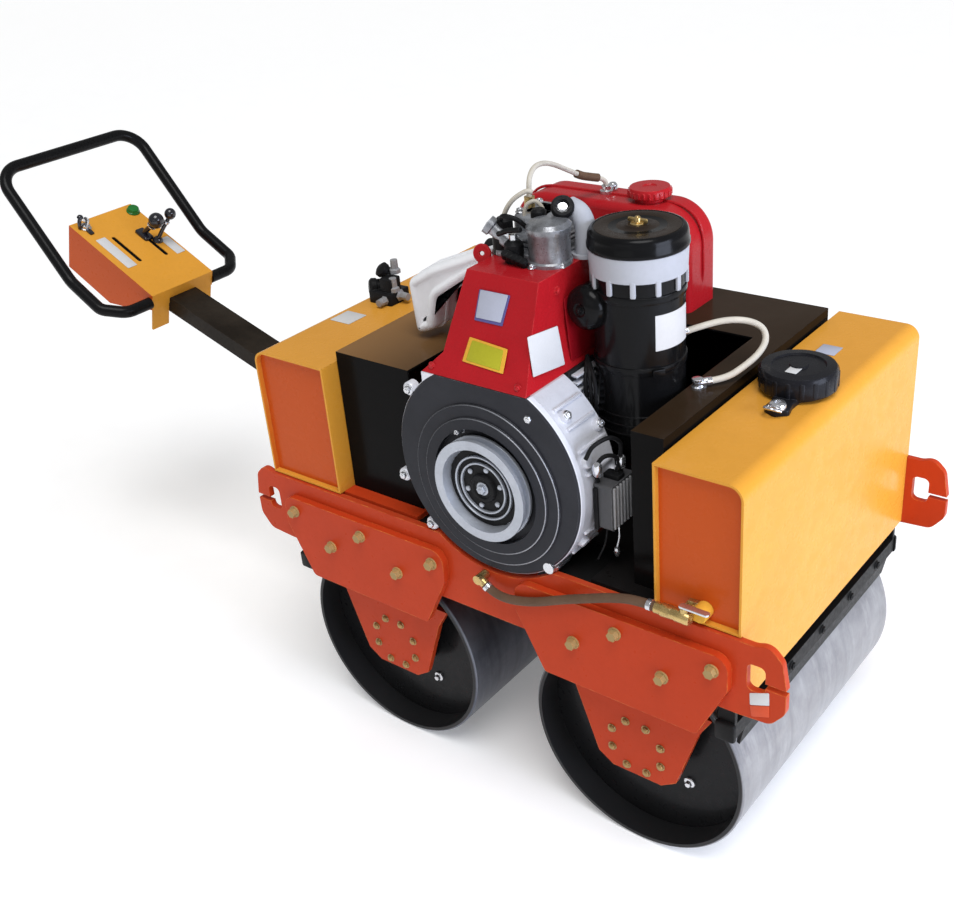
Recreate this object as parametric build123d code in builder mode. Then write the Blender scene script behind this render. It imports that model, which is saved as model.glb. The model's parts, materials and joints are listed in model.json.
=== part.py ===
from build123d import *
import os
from math import cos, pi, radians, sin, sqrt, tan

# Walk-behind roller with two drums, driven by a single-cylinder engine.
# Millimetres. +X points forward, away from the handle, +Y to the roller's left and +Z up.
# The pieces are laid out from the point on the ground midway between the drums. save() then moves
# them all, so that the origin lies on the ground under the middle of the machine's length.

os.makedirs("parts", exist_ok=True)

# Clearances
seat_gap = 0.3          # between pieces that lie against each other
running_gap = 6         # between a drum and what doesn't turn
bore_gap = 0.06         # all round a shaft in its bore

# Drums
drum_radius = 213
drum_width = 600
wheelbase = 572
drum_shell = 10
drum_recess = 50        # from the rim's edge in to the end disc
drum_disc = 8
drum_core_radius = 70
rim_chamfer = 3
journal_radius = 30
journal_reach = 30      # from the end disc out to the shaft's end
axle_x = wheelbase / 2
axle_z = drum_radius
drum_top = 2 * drum_radius
drum_half = drum_width / 2
disc_face = drum_half - drum_recess
rim_inside = drum_radius - drum_shell

# Frame: two side beams, a cross member, a deck and an apron at each end
beam_clearance = 24     # from a drum's end to the beam
beam_plate = 12
beam_half_width = drum_half + beam_clearance + beam_plate
beam_height = 132
beam_drop = 4           # how far the beams reach below the drums' top
beam_front_reach = 204  # past the front axle
beam_rear_reach = 207   # past the rear axle
flange_width = 46
flange_plate = 8
beam_bottom = drum_top - beam_drop
beam_top = beam_bottom + beam_height
beam_inner = beam_half_width - beam_plate
beam_face = beam_inner - seat_gap
beam_front = axle_x + beam_front_reach
beam_rear = -axle_x - beam_rear_reach
beam_length = beam_front - beam_rear
beam_middle = (beam_front + beam_rear) / 2
ear_reach = 92          # from the beam's end to the ear's tip
ear_corner = 22
ear_hole_width = 31
ear_hole_height = 50
ear_hole_corner = 10
ear_hole_reach = 42     # from the beam's end to the hole's middle
ear_hole_rise = 78
ear_slot = 10
ear_slot_drop = 8       # the slot's middle, below the hole's
deck_plate = 8
deck_edge = 6           # from the deck's edge to the beam's plate
deck_top = beam_top + deck_plate
deck_half_width = beam_inner - deck_edge
fan_notch = 8           # round the fan, in the deck and the right beam
cross_width = 60
cross_height = 70
cross_drop = 10         # below the fan housing
apron_plate = 10

# Brackets and hub plates that carry the drums
bracket_plate = 14
bracket_top_half = 205
bracket_foot_half = 150
bracket_rise = 105      # above the beam's bottom
bracket_shoulder = 43   # where the sides turn in, above the beam's bottom
bracket_foot_drop = 67
bracket_corner = 26
bracket_foot_corner = 9
bolt_radius = 9.5       # over the hexagon's corners
bolt_height = 10
washer_radius = 12
washer_plate = 3
hub_plate = 12
hub_plate_inset = 4     # from the drum's end in to the plate's outer face
hub_plate_face = drum_half - hub_plate_inset
joggle_rise = 34        # height over which the hub plate steps out past the rim
joggle_lap = 20         # of the step over the lower plate
joggle_half_width = 110
hub_top_half_width = 168
hub_top_rise = 10       # where the upper plate reaches its full width, above the beam's bottom
hub_shoulder = 150      # half the hub plate's width where it passes the rim
hub_waist = 125
hub_waist_rise = 87     # above the axle
hub_hip = 80
hub_hip_drop = 45       # below the axle
hub_foot = 50
hub_foot_drop = 65
housing_radius = 74
scraper_bar = 30
scraper_bar_drop = 58   # below the beam
scraper_blade = 5
scraper_bevel = 2
scraper_lap = 4         # how far the blade reaches up its bar
scraper_margin = 8      # from the drum's edge to the blade's
scraper_tip_angle = 28  # above the axle, in degrees
hanger_plate = 8
hanger_rise = 60        # above the beam's bottom

# Water tank at the front and the box at the rear
tank_length = 152
tank_inset = 6          # from the beam's outer face
tank_half_width = beam_half_width - tank_inset
tank_height = 263
tank_corner = 25
tank_sheet = 4
tank_end_recess = 10
tank_overhang = 12      # past the beam
tank_front = beam_front + tank_overhang
tank_back = tank_front - tank_length
box_length = 182
box_overhang = 35
box_rear = beam_rear - box_overhang
box_front = box_rear + box_length
tank_bottom = deck_top
tank_top = tank_bottom + tank_height
cap_radius = 64
cap_height = 39
cap_bevel = 6
cap_neck_radius = 52
cap_neck_height = 6

# Hood between them
hood_inset = 40         # from the tank's end
hood_half_width = tank_half_width - hood_inset
hood_height = 283
hood_sheet = 4
hood_front_gap = 4
hood_rear_gap = 2
bay_front = 288         # the engine's opening in the hood
bay_left = 110
hood_top = deck_top + hood_height
hood_rear = box_front + hood_rear_gap
hood_front = tank_back - hood_front_gap

# Engine. The fan housing's middle lies above the crankshaft.
crank_x = 30
crank_height = 133      # above the deck
housing_rise = 21
fan_radius = 191
fan_proud = 9           # the fan cover's face, past the beam's
fan_face = beam_half_width + fan_proud
fan_cover_plate = 22
cover_bevel = 4
cover_step = 4          # each of the two steps up to the cover's face
cover_ring_radius = 150
cover_face_radius = 127
cover_well_radius = 107
cover_well_depth = 14
cover_neck_bottom = 800
housing_shell = 5
housing_depth = 98
housing_bevel = 8
housing_back = 12
pulley_radius = 94
pulley_groove = 82
pulley_bore = 77        # the radius of the hollow in its face
pulley_hub = 20
pulley_proud = 17       # past the fan cover's face
pulley_flange = 7
pulley_web = 6
pulley_slant = 2        # the groove's walls
pulley_taper = 4        # the hollow's wall
pulley_end_gap = 1
crank_z = deck_top + crank_height
housing_z = crank_z + housing_rise
housing_front = fan_face - fan_cover_plate
housing_rear = housing_front - housing_depth
bay_rear = crank_x - fan_radius - fan_notch
engine_rear = -70
engine_front = 128
engine_back = 100
engine_height = 318
shroud_left = 60
shroud_height = 168
head_rear = -30
head_front = 89
head_right = 200
head_left = 70
head_height = 62
foot_radius = 13
foot_angle = -52        # of the housing's foot, round the housing

# Air filter
filter_x = 205
filter_y = -125
filter_radius = 78
filter_body_radius = 74
filter_foot_radius = 66
filter_bottom = 744
filter_foot_height = 30
filter_ring_bottom = 1040
filter_cap_bottom = 1080
filter_cap_radius = 82
filter_cap_rim = 20
filter_cap_height = 34
filter_cap_top_radius = 72
filter_nut_radius = 10
filter_nut_height = 12
elbow_x = 105
elbow_y = -130
elbow_radius = 15
elbow_height = 72
inlet_radius = 24
inlet_inset = 13        # from the body's rear face to the inlet's axis
inlet_z = 984
inlet_reach = 80        # from the body's axis
arm_z = 985
arm_width = 40
arm_height = 40

# Fuel tank behind the engine
fuel_rear = -255
fuel_front = 138
fuel_right = 150
fuel_left = 250
fuel_height = 190
fuel_corner = 75
fuel_edge = 14
fuel_cap_x = 28
fuel_cap_radius = 40
fuel_neck_radius = 28
fuel_neck_height = 8
fuel_cap_height = 26

# Muffler on the engine's rear
muffler_right = 175
muffler_left = 95
muffler_corner = 12

# Fittings, hoses and the control box
control_depth = 34
control_inset = 45      # from the fan cover's face
control_width = 70
control_right = fan_face - control_inset
control_left = control_right - control_width
control_bottom = 655
control_top = 737
control_bevel = 5
fitting_clearance = 22  # from the tank's side to the valve's axis
valve_x = 418
valve_rise = 20         # above the tank's bottom
valve_radius = 11
valve_stub = 10
valve_reach = 52
water_hose_size = 16
hose_belly = 7          # how far the hose bulges past the valve
hose_tee_x = 8
hose_tee_z = 508
hose_tee_radius = 9
hose_tee_offset = 17    # from the beam to the tee's axis
hose_port = 14
breather_hose_size = 11
breather_boss = 14
breather_boss_wall = 3
breather_rise = 10      # the fitting's axis above the hood
breather_ferrule = 21
breather_ferrule_wall = 1.5
breather_post_inset = 14
breather_post_radius = 6
fuel_pipe_size = 9
pipe_inlet_x = -7
pipe_inlet_y = -120
pipe_outlet_x = -67
pipe_fitting = 9
pipe_inlet_rise = 18
pipe_outlet_rise = 10
box_valve_x = -470
box_valve_y = -30
box_valve_length = 56
box_valve_width = 40
box_valve_height = 34
box_valve_stem = 12
box_valve_top = 78

# Drawbar, console and handle
bar_half_width = 40
bar_height = 38
bar_angle = 18          # above level, at rest, in degrees
pivot_reach = 47        # behind the rear box
pivot_rise = 79         # above the beam's bottom
pivot_radius = 12
bar_length = 870        # from the pivot to the end inside the console
lug_gap = 5
lug_plate = 12
lug_reach = 98
lug_slope_start = 62    # behind the rear box, where the lug's top slopes down
lug_half_height = 40
lug_tip_drop = 8
lug_slope_rise = 26
stop_radius = 8
stop_reach = 36         # along the bar, from the pivot
console_half_width = 93
console_sheet = 3
console_top_rear = (-1436, 872)
console_top_front = (-1158, 737)
tab_inner = 42
tab_outer = 90
tab_height = 97
tab_plate = 5
grip_radius = 14
grip_half_width = 200
grip_x = -1513
grip_z = 1024
grip_bend = 58

pivot_x = box_rear - pivot_reach
pivot_z = beam_bottom + pivot_rise
machine_front = beam_front + ear_reach
machine_rear = grip_x - grip_radius
machine_middle = (machine_front + machine_rear) / 2

side_names = (("right", -1), ("left", 1))
end_names = (("front", 1), ("rear", -1))
outward = (0, -1, 0)
upward = (0, 0, 1)


def save(piece, name):
    """Write one sub-part under its own name, placed about the machine's middle."""
    placed = piece.moved(Location((-machine_middle, 0, 0)))
    placed.label = name
    export_step(placed, "parts/" + name + ".step")


def side_span(side, inner, outer):
    """The lowest and highest Y of a plate on one side."""
    return sorted((side * inner, side * outer))


def block(low, high, edge=0):
    """A box between two corners, with its upright edges rounded if asked."""
    size = [b - a for a, b in zip(low, high)]
    middle = [(a + b) / 2 for a, b in zip(low, high)]
    with BuildPart(Plane(origin=middle)) as piece:
        Box(*size)
        if edge:
            fillet(piece.edges().filter_by(Axis.X), edge)
    return piece.part


def upright_plate(outline, y_low, y_high, corner=0):
    """A plate with an X-Z outline, between two values of Y."""
    with BuildPart() as piece:
        with BuildSketch(Plane.XZ.offset(-y_high)) as face:
            with BuildLine():
                Polyline(*outline, close=True)
            make_face()
            if corner:
                fillet(face.vertices(), corner)
        extrude(amount=y_high - y_low)
    return piece.part


def turned(centre, axis, profile):
    """A solid of revolution: rows of radius and distance along the axis."""
    plane = Plane(origin=centre, x_dir=Plane(origin=centre, z_dir=axis).x_dir, z_dir=axis)
    upright = Plane(origin=centre, x_dir=plane.x_dir, z_dir=plane.x_dir.cross(plane.z_dir))
    with BuildPart() as piece:
        with BuildSketch(upright):
            with BuildLine():
                Polyline(*profile, close=True)
            make_face()
        revolve(axis=Axis(centre, axis))
    return piece.part


def cut_level(piece, height):
    """The part of a solid that lies below a height."""
    with BuildPart() as rest:
        add(piece)
        split(bisect_by=Plane.XY.offset(height), keep=Keep.BOTTOM)
    return rest.part


def rod(start, end, radius):
    """A round bar between two points."""
    line = Vector(*end) - Vector(*start)
    with BuildPart() as piece:
        with BuildSketch(Plane(origin=start, z_dir=line)):
            Circle(radius)
        extrude(amount=line.length)
    return piece.part


def hose(points, diameter):
    """A round hose of straight runs joined by tangent arcs."""
    route = [Vector(*point) for point in points]
    radii = []
    for before, here, after in zip(route, route[1:], route[2:]):
        turn = radians((here - before).get_angle(after - here))
        shorter = min((here - before).length, (after - here).length)
        radii.append(0.45 * shorter / tan(turn / 2))
    with BuildPart() as piece:
        with BuildLine() as path:
            FilletPolyline(*points, radius=radii)
        with BuildSketch(Plane(origin=route[0], z_dir=route[1] - route[0])):
            Circle(diameter / 2)
        sweep(path=path.wires()[0])
    length = path.wires()[0].length
    ratio = piece.part.volume / (pi * diameter ** 2 / 4 * length)
    print("hose", round(length), "mm, radii", [round(radius) for radius in radii], "volume", round(ratio, 4))
    return piece.part


def beam(side):
    """A side beam: an upright plate with an ear at each end, and a top flange."""
    y_low, y_high = side_span(side, beam_inner, beam_half_width)
    ear_points = (  # distance past the beam's end, height above its bottom
        (38, 138), (62, 146), (84, 124), (ear_reach, 78), (ear_reach, 30), (68, 0), (10, -4))
    rear = [(beam_rear - out, beam_bottom + up) for out, up in reversed(ear_points)]
    front = [(beam_front + out, beam_bottom + up) for out, up in ear_points]
    with BuildPart() as piece:
        with BuildSketch(Plane.XZ.offset(-y_high)) as web:
            with BuildLine():
                Polyline(*front, *rear, close=True)
            make_face()
            ends = [v for v in web.vertices() if abs(v.X - beam_middle) > beam_length / 2 + ear_corner]
            fillet(ends, ear_corner)
            for end, start in ((1, beam_front), (-1, beam_rear)):
                hole_x = start + end * ear_hole_reach
                hole_z = beam_bottom + ear_hole_rise
                with Locations((hole_x, hole_z)):
                    RectangleRounded(ear_hole_width, ear_hole_height, ear_hole_corner, mode=Mode.SUBTRACT)
                with Locations((hole_x + end * ear_reach / 2, hole_z - ear_slot_drop)):
                    Rectangle(ear_reach, ear_slot, mode=Mode.SUBTRACT)
            if side < 0:
                with Locations((crank_x, housing_z)):
                    Circle(fan_radius + fan_notch, mode=Mode.SUBTRACT)
        extrude(amount=y_high - y_low)
        flange_y = side * (beam_inner - flange_width / 2)
        with BuildSketch(Plane.XY.offset(beam_top - flange_plate)):
            with Locations((beam_middle, flange_y)):
                Rectangle(beam_length, flange_width)
            if side < 0:
                with Locations((crank_x, flange_y)):
                    Rectangle(2 * fan_radius, flange_width, mode=Mode.SUBTRACT)
        extrude(amount=flange_plate)
    return piece.part


def drum_shell_tube(centre_x):
    """A drum's rolled shell."""
    plane = Plane(origin=(centre_x, 0, axle_z), x_dir=(1, 0, 0), z_dir=(0, -1, 0))
    with BuildPart() as piece:
        with BuildSketch(plane.offset(-drum_half)):
            Circle(drum_radius)
        extrude(amount=drum_width)
        chamfer(piece.edges().filter_by(GeomType.CIRCLE), rim_chamfer)
        with BuildSketch(plane.offset(-drum_half)):
            Circle(rim_inside)
        extrude(amount=drum_width, mode=Mode.SUBTRACT)
    return piece.part


def drum_core(centre_x):
    """What is welded inside a drum's shell: two end discs, a core and a journal at each end."""
    plane = Plane(origin=(centre_x, 0, axle_z), x_dir=(1, 0, 0), z_dir=(0, -1, 0))
    journal_end = disc_face + journal_reach
    with BuildPart() as piece:
        for start in (-disc_face, disc_face - drum_disc):
            with BuildSketch(plane.offset(start)):
                Circle(rim_inside - seat_gap)
            extrude(amount=drum_disc)
        with BuildSketch(plane.offset(-disc_face)):
            Circle(drum_core_radius)
        extrude(amount=2 * disc_face)
        with BuildSketch(plane.offset(-journal_end)):
            Circle(journal_radius)
        extrude(amount=2 * journal_end)
    return piece.part


def bracket(centre_x, side, bolts):
    """The outer plate that bolts the drum's carrier to the beam, with its bolts."""
    y_low, y_high = side_span(side, beam_half_width, beam_half_width + bracket_plate)
    outer = beam_half_width + bracket_plate
    half_outline = [  # distance from the axle, height above the beam's bottom
        (bracket_top_half, bracket_rise), (bracket_top_half, bracket_shoulder),
        (bracket_foot_half, -bracket_foot_drop)]
    outline = half_outline + [(-x, z) for x, z in reversed(half_outline)]
    face_plane = Plane(origin=(centre_x, side * outer, beam_bottom), x_dir=(1, 0, 0), z_dir=(0, side, 0))
    flip = -side  # the plane's own Y runs down on the left side
    with BuildPart() as piece:
        with BuildSketch(Plane.XZ.offset(-y_high)) as face:
            with BuildLine():
                Polyline(*[(centre_x + x, beam_bottom + z) for x, z in outline], close=True)
            make_face()
            fillet(face.vertices().group_by(Axis.Y)[-1], bracket_corner)
            fillet(face.vertices().group_by(Axis.Y)[0], bracket_foot_corner)
        extrude(amount=y_high - y_low)
        with BuildSketch(face_plane):
            with Locations(*[(x, flip * z) for x, z in bolts]):
                Circle(washer_radius)
        extrude(amount=washer_plate)
        with BuildSketch(face_plane.offset(washer_plate)):
            with Locations(*[(x, flip * z) for x, z in bolts]):
                RegularPolygon(bolt_radius, 6)
        extrude(amount=bolt_height)
    return piece.part


def hub_carrier(centre_x, side):
    """The inner plate: inside the drum's rim below, stepped out past it above."""
    rim_limit = rim_inside - running_gap
    shoulder_z = axle_z + sqrt(rim_limit ** 2 - hub_shoulder ** 2)
    lower_inner = hub_plate_face - hub_plate
    upper_inner = beam_face - hub_plate
    joggle_top = shoulder_z + joggle_rise
    top_z = beam_bottom + bracket_rise
    half_lower = [  # distance from the axle, height
        (hub_foot, axle_z - hub_foot_drop), (hub_hip, axle_z - hub_hip_drop),
        (hub_waist, axle_z + hub_waist_rise), (hub_shoulder, shoulder_z)]
    lower = half_lower + [(-x, z) for x, z in reversed(half_lower)]
    section = [  # distance from the middle, height
        (lower_inner, shoulder_z - joggle_lap), (hub_plate_face, shoulder_z - joggle_lap),
        (hub_plate_face, shoulder_z), (beam_face, joggle_top), (beam_face, joggle_top + 2 * joggle_lap),
        (upper_inner, joggle_top + 2 * joggle_lap), (upper_inner, joggle_top), (lower_inner, shoulder_z)]
    half_upper = [
        (joggle_half_width, joggle_top), (hub_top_half_width, beam_bottom + hub_top_rise),
        (hub_top_half_width, top_z)]
    upper = half_upper + [(-x, z) for x, z in reversed(half_upper)]
    with BuildPart() as piece:
        for outline, inner, outer in ((lower, lower_inner, hub_plate_face), (upper, upper_inner, beam_face)):
            y_low, y_high = side_span(side, inner, outer)
            with BuildSketch(Plane.XZ.offset(-y_high)):
                with BuildLine():
                    Polyline(*[(centre_x + x, z) for x, z in outline], close=True)
                make_face()
            extrude(amount=y_high - y_low)
        with BuildSketch(Plane.YZ.offset(centre_x - joggle_half_width)):
            with BuildLine():
                Polyline(*[(side * y, z) for y, z in section], close=True)
            make_face()
        extrude(amount=2 * joggle_half_width)
    return piece.part


def bearing_housings(centre_x):
    """The pair of housings that hold one drum's journals."""
    plane = Plane(origin=(centre_x, 0, axle_z), x_dir=(1, 0, 0), z_dir=(0, -1, 0))
    inner = disc_face + running_gap
    outer = hub_plate_face - hub_plate
    with BuildPart() as piece:
        for start in (-outer, inner):
            with BuildSketch(plane.offset(start)):
                Circle(housing_radius)
                Circle(journal_radius + bore_gap, mode=Mode.SUBTRACT)
            extrude(amount=outer - inner)
    return piece.part


def scraper(end):
    """A scraper blade on a square bar, hung from a plate on each beam."""
    reach = drum_radius + running_gap
    tip_angle = radians(scraper_tip_angle)
    half_bar = scraper_bar / 2
    bar_x = tank_front - apron_plate - seat_gap - half_bar
    bar_z = beam_bottom - scraper_bar_drop
    tip_x = axle_x + reach * cos(tip_angle)
    tip_z = axle_z + reach * sin(tip_angle)
    blade_half = drum_half - scraper_margin
    blade = [
        (tip_x, tip_z), (tip_x + scraper_blade, tip_z - scraper_bevel), (bar_x + half_bar, bar_z - half_bar),
        (bar_x + half_bar - 2 * scraper_blade, bar_z - half_bar + scraper_lap)]
    hanger_inner = beam_face - hanger_plate
    hanger_top = beam_bottom + hanger_rise
    with BuildPart() as piece:
        with BuildSketch(Plane.XZ.offset(-hanger_inner)):
            with Locations((end * bar_x, bar_z)):
                Rectangle(scraper_bar, scraper_bar)
        extrude(amount=2 * hanger_inner)
        with BuildSketch(Plane.XZ.offset(-blade_half)):
            with BuildLine():
                Polyline(*[(end * x, z) for x, z in blade], close=True)
            make_face()
        extrude(amount=2 * blade_half)
        for side in (-1, 1):
            y_low, y_high = side_span(side, hanger_inner, beam_face)
            with BuildSketch(Plane.XZ.offset(-y_high)):
                with Locations((end * bar_x, (bar_z - half_bar + hanger_top) / 2)):
                    Rectangle(scraper_bar, hanger_top - bar_z + half_bar)
            extrude(amount=y_high - y_low)
    return piece.part


def tank_shell(x_low, x_high, round_end):
    """A closed sheet tank: a wrap with one rounded top edge and recessed end plates."""
    inside = tank_half_width - tank_end_recess - tank_sheet
    outline = [(x_low, tank_bottom), (x_high, tank_bottom), (x_high, tank_top), (x_low, tank_top)]
    with BuildPart() as piece:
        for plate_high, depth in ((tank_half_width, 2 * tank_half_width),
                                  (-inside, tank_sheet), (inside + tank_sheet, tank_sheet)):
            with BuildSketch(Plane.XZ.offset(-plate_high)) as wrap:
                with BuildLine():
                    Polyline(*outline, close=True)
                make_face()
                top = wrap.vertices().group_by(Axis.Y)[-1].sort_by(Axis.X)
                fillet(top[-1] if round_end > 0 else top[0], tank_corner)
                if depth > tank_sheet:
                    offset(amount=-tank_sheet, mode=Mode.SUBTRACT)
            extrude(amount=depth)
    return piece.part


def hood():
    """The black sheet cover, open on the right and above where the engine stands."""
    length = hood_front - hood_rear
    middle = ((hood_rear + hood_front) / 2, 0)
    with BuildPart() as piece:
        with BuildSketch(Plane.XY.offset(deck_top)):
            with Locations(middle):
                Rectangle(length, 2 * hood_half_width)
        extrude(amount=hood_height)
        with BuildSketch(Plane.XY.offset(deck_top)):
            with Locations(middle):
                Rectangle(length - 2 * hood_sheet, 2 * (hood_half_width - hood_sheet))
        extrude(amount=hood_height - hood_sheet, mode=Mode.SUBTRACT)
        with BuildSketch(Plane.XY.offset(deck_top)):
            with Locations(((bay_rear + bay_front) / 2, (bay_left - hood_half_width) / 2)):
                Rectangle(bay_front - bay_rear, bay_left + hood_half_width)
        extrude(amount=hood_height, mode=Mode.SUBTRACT)
    return piece.part


# Frame
for side_name, side in side_names:
    save(beam(side), "beam_" + side_name)

cross_top = housing_z - fan_radius - cross_drop
save(block((-cross_width / 2, -beam_face, cross_top - cross_height),
           (cross_width / 2, beam_face, cross_top)), "cross_member")

with BuildPart() as deck:
    with BuildSketch(Plane.XY.offset(beam_top)):
        with Locations((beam_middle, 0)):
            Rectangle(beam_length, 2 * deck_half_width)
        with Locations((crank_x, -deck_half_width)):
            Rectangle(2 * fan_radius, 2 * (deck_half_width - housing_rear + fan_notch), mode=Mode.SUBTRACT)
    extrude(amount=deck_plate)
save(deck.part, "deck")

for end_name, outer_x, inner_x in (("front", tank_front, tank_front - apron_plate),
                                   ("rear", box_rear, box_rear + apron_plate)):
    x_low, x_high = sorted((inner_x, outer_x))
    save(block((x_low, -beam_face, beam_bottom), (x_high, beam_face, tank_bottom)), "apron_" + end_name)

# Drums and what carries them. The hose's clip takes the place of one bolt on the right.
clip_bolt = (-178, 75)
bracket_bolts = [clip_bolt, (0, 75), (178, 75), (-85, 23), (88, 23)]  # from the axle, above the beam's bottom
for end_name, end in end_names:
    hub_x = end * axle_x
    save(drum_shell_tube(hub_x), "drum_" + end_name)
    save(drum_core(hub_x), "drum_core_" + end_name)
    save(bearing_housings(hub_x), "bearing_housings_" + end_name)
    save(scraper(end), "scraper_" + end_name)
    for side_name, side in side_names:
        bolts = [bolt for bolt in bracket_bolts if (end, side, bolt) != (1, -1, clip_bolt)]
        save(bracket(hub_x, side, bolts), "bracket_" + end_name + "_" + side_name)
        save(hub_carrier(hub_x, side), "hub_plate_" + end_name + "_" + side_name)

# Water tank, rear box and hood
save(tank_shell(tank_back, tank_front, 1), "water_tank")
save(tank_shell(box_rear, box_front, -1), "rear_box")
save(hood(), "hood")

cap_x = (tank_front + tank_back) / 2
cap_top = cap_neck_height + cap_height
save(turned((cap_x, 0, tank_top + seat_gap), upward, [
    (0, 0), (cap_neck_radius, 0), (cap_neck_radius, cap_neck_height), (cap_radius, cap_neck_height),
    (cap_radius, cap_top - cap_bevel), (cap_radius - cap_bevel, cap_top), (0, cap_top)]), "tank_cap")

# Engine
engine_top = deck_top + engine_height
shroud_z = engine_top + seat_gap
save(block((engine_rear, -(housing_rear - seat_gap), deck_top), (engine_front, engine_back, engine_top)),
     "engine_block")

crank = (crank_x, 0, crank_z)
housing_centre = (crank_x, 0, housing_z)
housing = turned(housing_centre, outward, [
    (0, housing_rear + seat_gap), (fan_radius - housing_bevel, housing_rear + seat_gap),
    (fan_radius, housing_rear + housing_bevel), (fan_radius, housing_front),
    (fan_radius - housing_shell, housing_front), (fan_radius - housing_shell, housing_rear + housing_back),
    (0, housing_rear + housing_back)])
foot_reach = fan_radius - foot_radius / 2
foot_x = crank_x + foot_reach * cos(radians(foot_angle))
foot_z = housing_z + foot_reach * sin(radians(foot_angle))
with BuildPart() as fan_housing:
    add(cut_level(housing, engine_top))
    add(rod((foot_x, -housing_rear - housing_back, foot_z), (foot_x, -housing_front, foot_z), foot_radius))
save(fan_housing.part, "fan_housing")

cover_back = housing_front + seat_gap
cover_rim_face = fan_face - 2 * cover_step
cover_faces = ((cover_ring_radius, cover_rim_face + cover_step), (cover_face_radius, fan_face))
shroud_foot_rear, shroud_foot_front = -92, 124
with BuildPart() as cover:
    add(turned(housing_centre, outward, [
        (0, cover_back), (fan_radius, cover_back), (fan_radius, cover_rim_face - cover_bevel),
        (fan_radius - cover_bevel, cover_rim_face), (0, cover_rim_face)]))
    add(block((shroud_foot_rear, -cover_rim_face, cover_neck_bottom),
              (shroud_foot_front, -cover_back, engine_top)))
    for radius, face in cover_faces:
        with BuildSketch(Plane(origin=(crank_x, -cover_back, crank_z), z_dir=outward)):
            Circle(radius)
        extrude(amount=face - cover_back)
    with BuildSketch(Plane(origin=(crank_x, -fan_face, crank_z), z_dir=outward)):
        Circle(cover_well_radius)
    extrude(amount=-cover_well_depth, mode=Mode.SUBTRACT)
    with BuildSketch(Plane(origin=(crank_x, -housing_front, crank_z), z_dir=outward)):
        Circle(pulley_hub + bore_gap)
    extrude(amount=fan_cover_plate, mode=Mode.SUBTRACT)
save(cut_level(cover.part, engine_top), "fan_cover")

well_face = fan_face - cover_well_depth
pulley_face = fan_face + pulley_proud
pulley_back = well_face + running_gap
pulley_start = housing_front + pulley_end_gap
pulley_floor = pulley_back + pulley_web
save(turned(crank, outward, [
    (0, pulley_start), (pulley_hub, pulley_start), (pulley_hub, pulley_back),
    (pulley_radius, pulley_back), (pulley_radius, pulley_floor),
    (pulley_groove, pulley_floor + pulley_slant), (pulley_groove, pulley_face - pulley_flange - pulley_slant),
    (pulley_radius, pulley_face - pulley_flange), (pulley_radius, pulley_face), (pulley_bore, pulley_face),
    (pulley_bore - pulley_taper, pulley_floor), (0, pulley_floor)]), "starter_pulley")

shroud_sections = (  # height above its foot, rear X, front X, how far its right face lies inside the cover's
    (0, shroud_foot_rear, shroud_foot_front, 10), (34, -58, 117, 31), (75, -52, 112, 48),
    (shroud_height, -30, 113, 77))
with BuildPart() as shroud:
    for height, x_low, x_high, inset in shroud_sections:
        right = fan_face - inset
        with BuildSketch(Plane.XY.offset(shroud_z + height)):
            with Locations(((x_low + x_high) / 2, -(right + shroud_left) / 2)):
                Rectangle(x_high - x_low, right - shroud_left)
    loft(ruled=True)
save(shroud.part, "shroud")

head_z = shroud_z + shroud_height + seat_gap
head_top = head_z + head_height
save(block((head_rear, -head_right, head_z), (head_front, -head_left, head_top)), "cylinder_head")

# Air filter
filter_foot = (filter_x, filter_y, 0)
filter_side = filter_x - filter_body_radius
breather_start = Vector(255, -69, 918)
breather_next = Vector(278, -44, 925)
breather_way = (breather_next - breather_start).normalized()
with BuildPart() as air_filter:
    add(turned(filter_foot, upward, [
        (0, filter_bottom), (filter_foot_radius, filter_bottom),
        (filter_body_radius, filter_bottom + filter_foot_height),
        (filter_body_radius, filter_ring_bottom), (0, filter_ring_bottom)]))
    inlet_x = filter_side + inlet_inset
    add(rod((inlet_x, filter_y - inlet_radius, inlet_z), (inlet_x, filter_y - inlet_reach, inlet_z),
            inlet_radius))
    add(rod(breather_start - breather_way * breather_boss, breather_start,
            breather_hose_size / 2 + breather_boss_wall))
save(air_filter.part, "air_filter")
save(turned(filter_foot, upward, [
    (0, filter_ring_bottom + seat_gap), (filter_radius, filter_ring_bottom + seat_gap),
    (filter_radius + 2, filter_cap_bottom), (0, filter_cap_bottom)]), "filter_ring")
cap_base = filter_cap_bottom + seat_gap
lid_top = cap_base + filter_cap_height
save(turned(filter_foot, upward, [
    (0, cap_base), (filter_cap_radius, cap_base), (filter_cap_radius, cap_base + filter_cap_rim),
    (filter_cap_top_radius, lid_top - filter_nut_radius), (filter_nut_radius, lid_top),
    (filter_nut_radius, lid_top + filter_nut_height), (0, lid_top + filter_nut_height)]), "filter_cap")

save(rod((elbow_x, elbow_y, head_z), (elbow_x, elbow_y, head_z + elbow_height), elbow_radius), "intake_elbow")

arm_x = shroud_sections[-1][2] + seat_gap
with BuildPart() as filter_bracket:
    add(block((arm_x, filter_y - arm_width / 2, arm_z - arm_height / 2),
              (filter_x, filter_y + arm_width / 2, arm_z + arm_height / 2)))
    with BuildSketch(Plane.XY):
        with Locations((filter_x, filter_y)):
            Circle(filter_body_radius + seat_gap)
    extrude(amount=arm_z + arm_height, mode=Mode.SUBTRACT)
save(filter_bracket.part, "filter_bracket")

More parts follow.
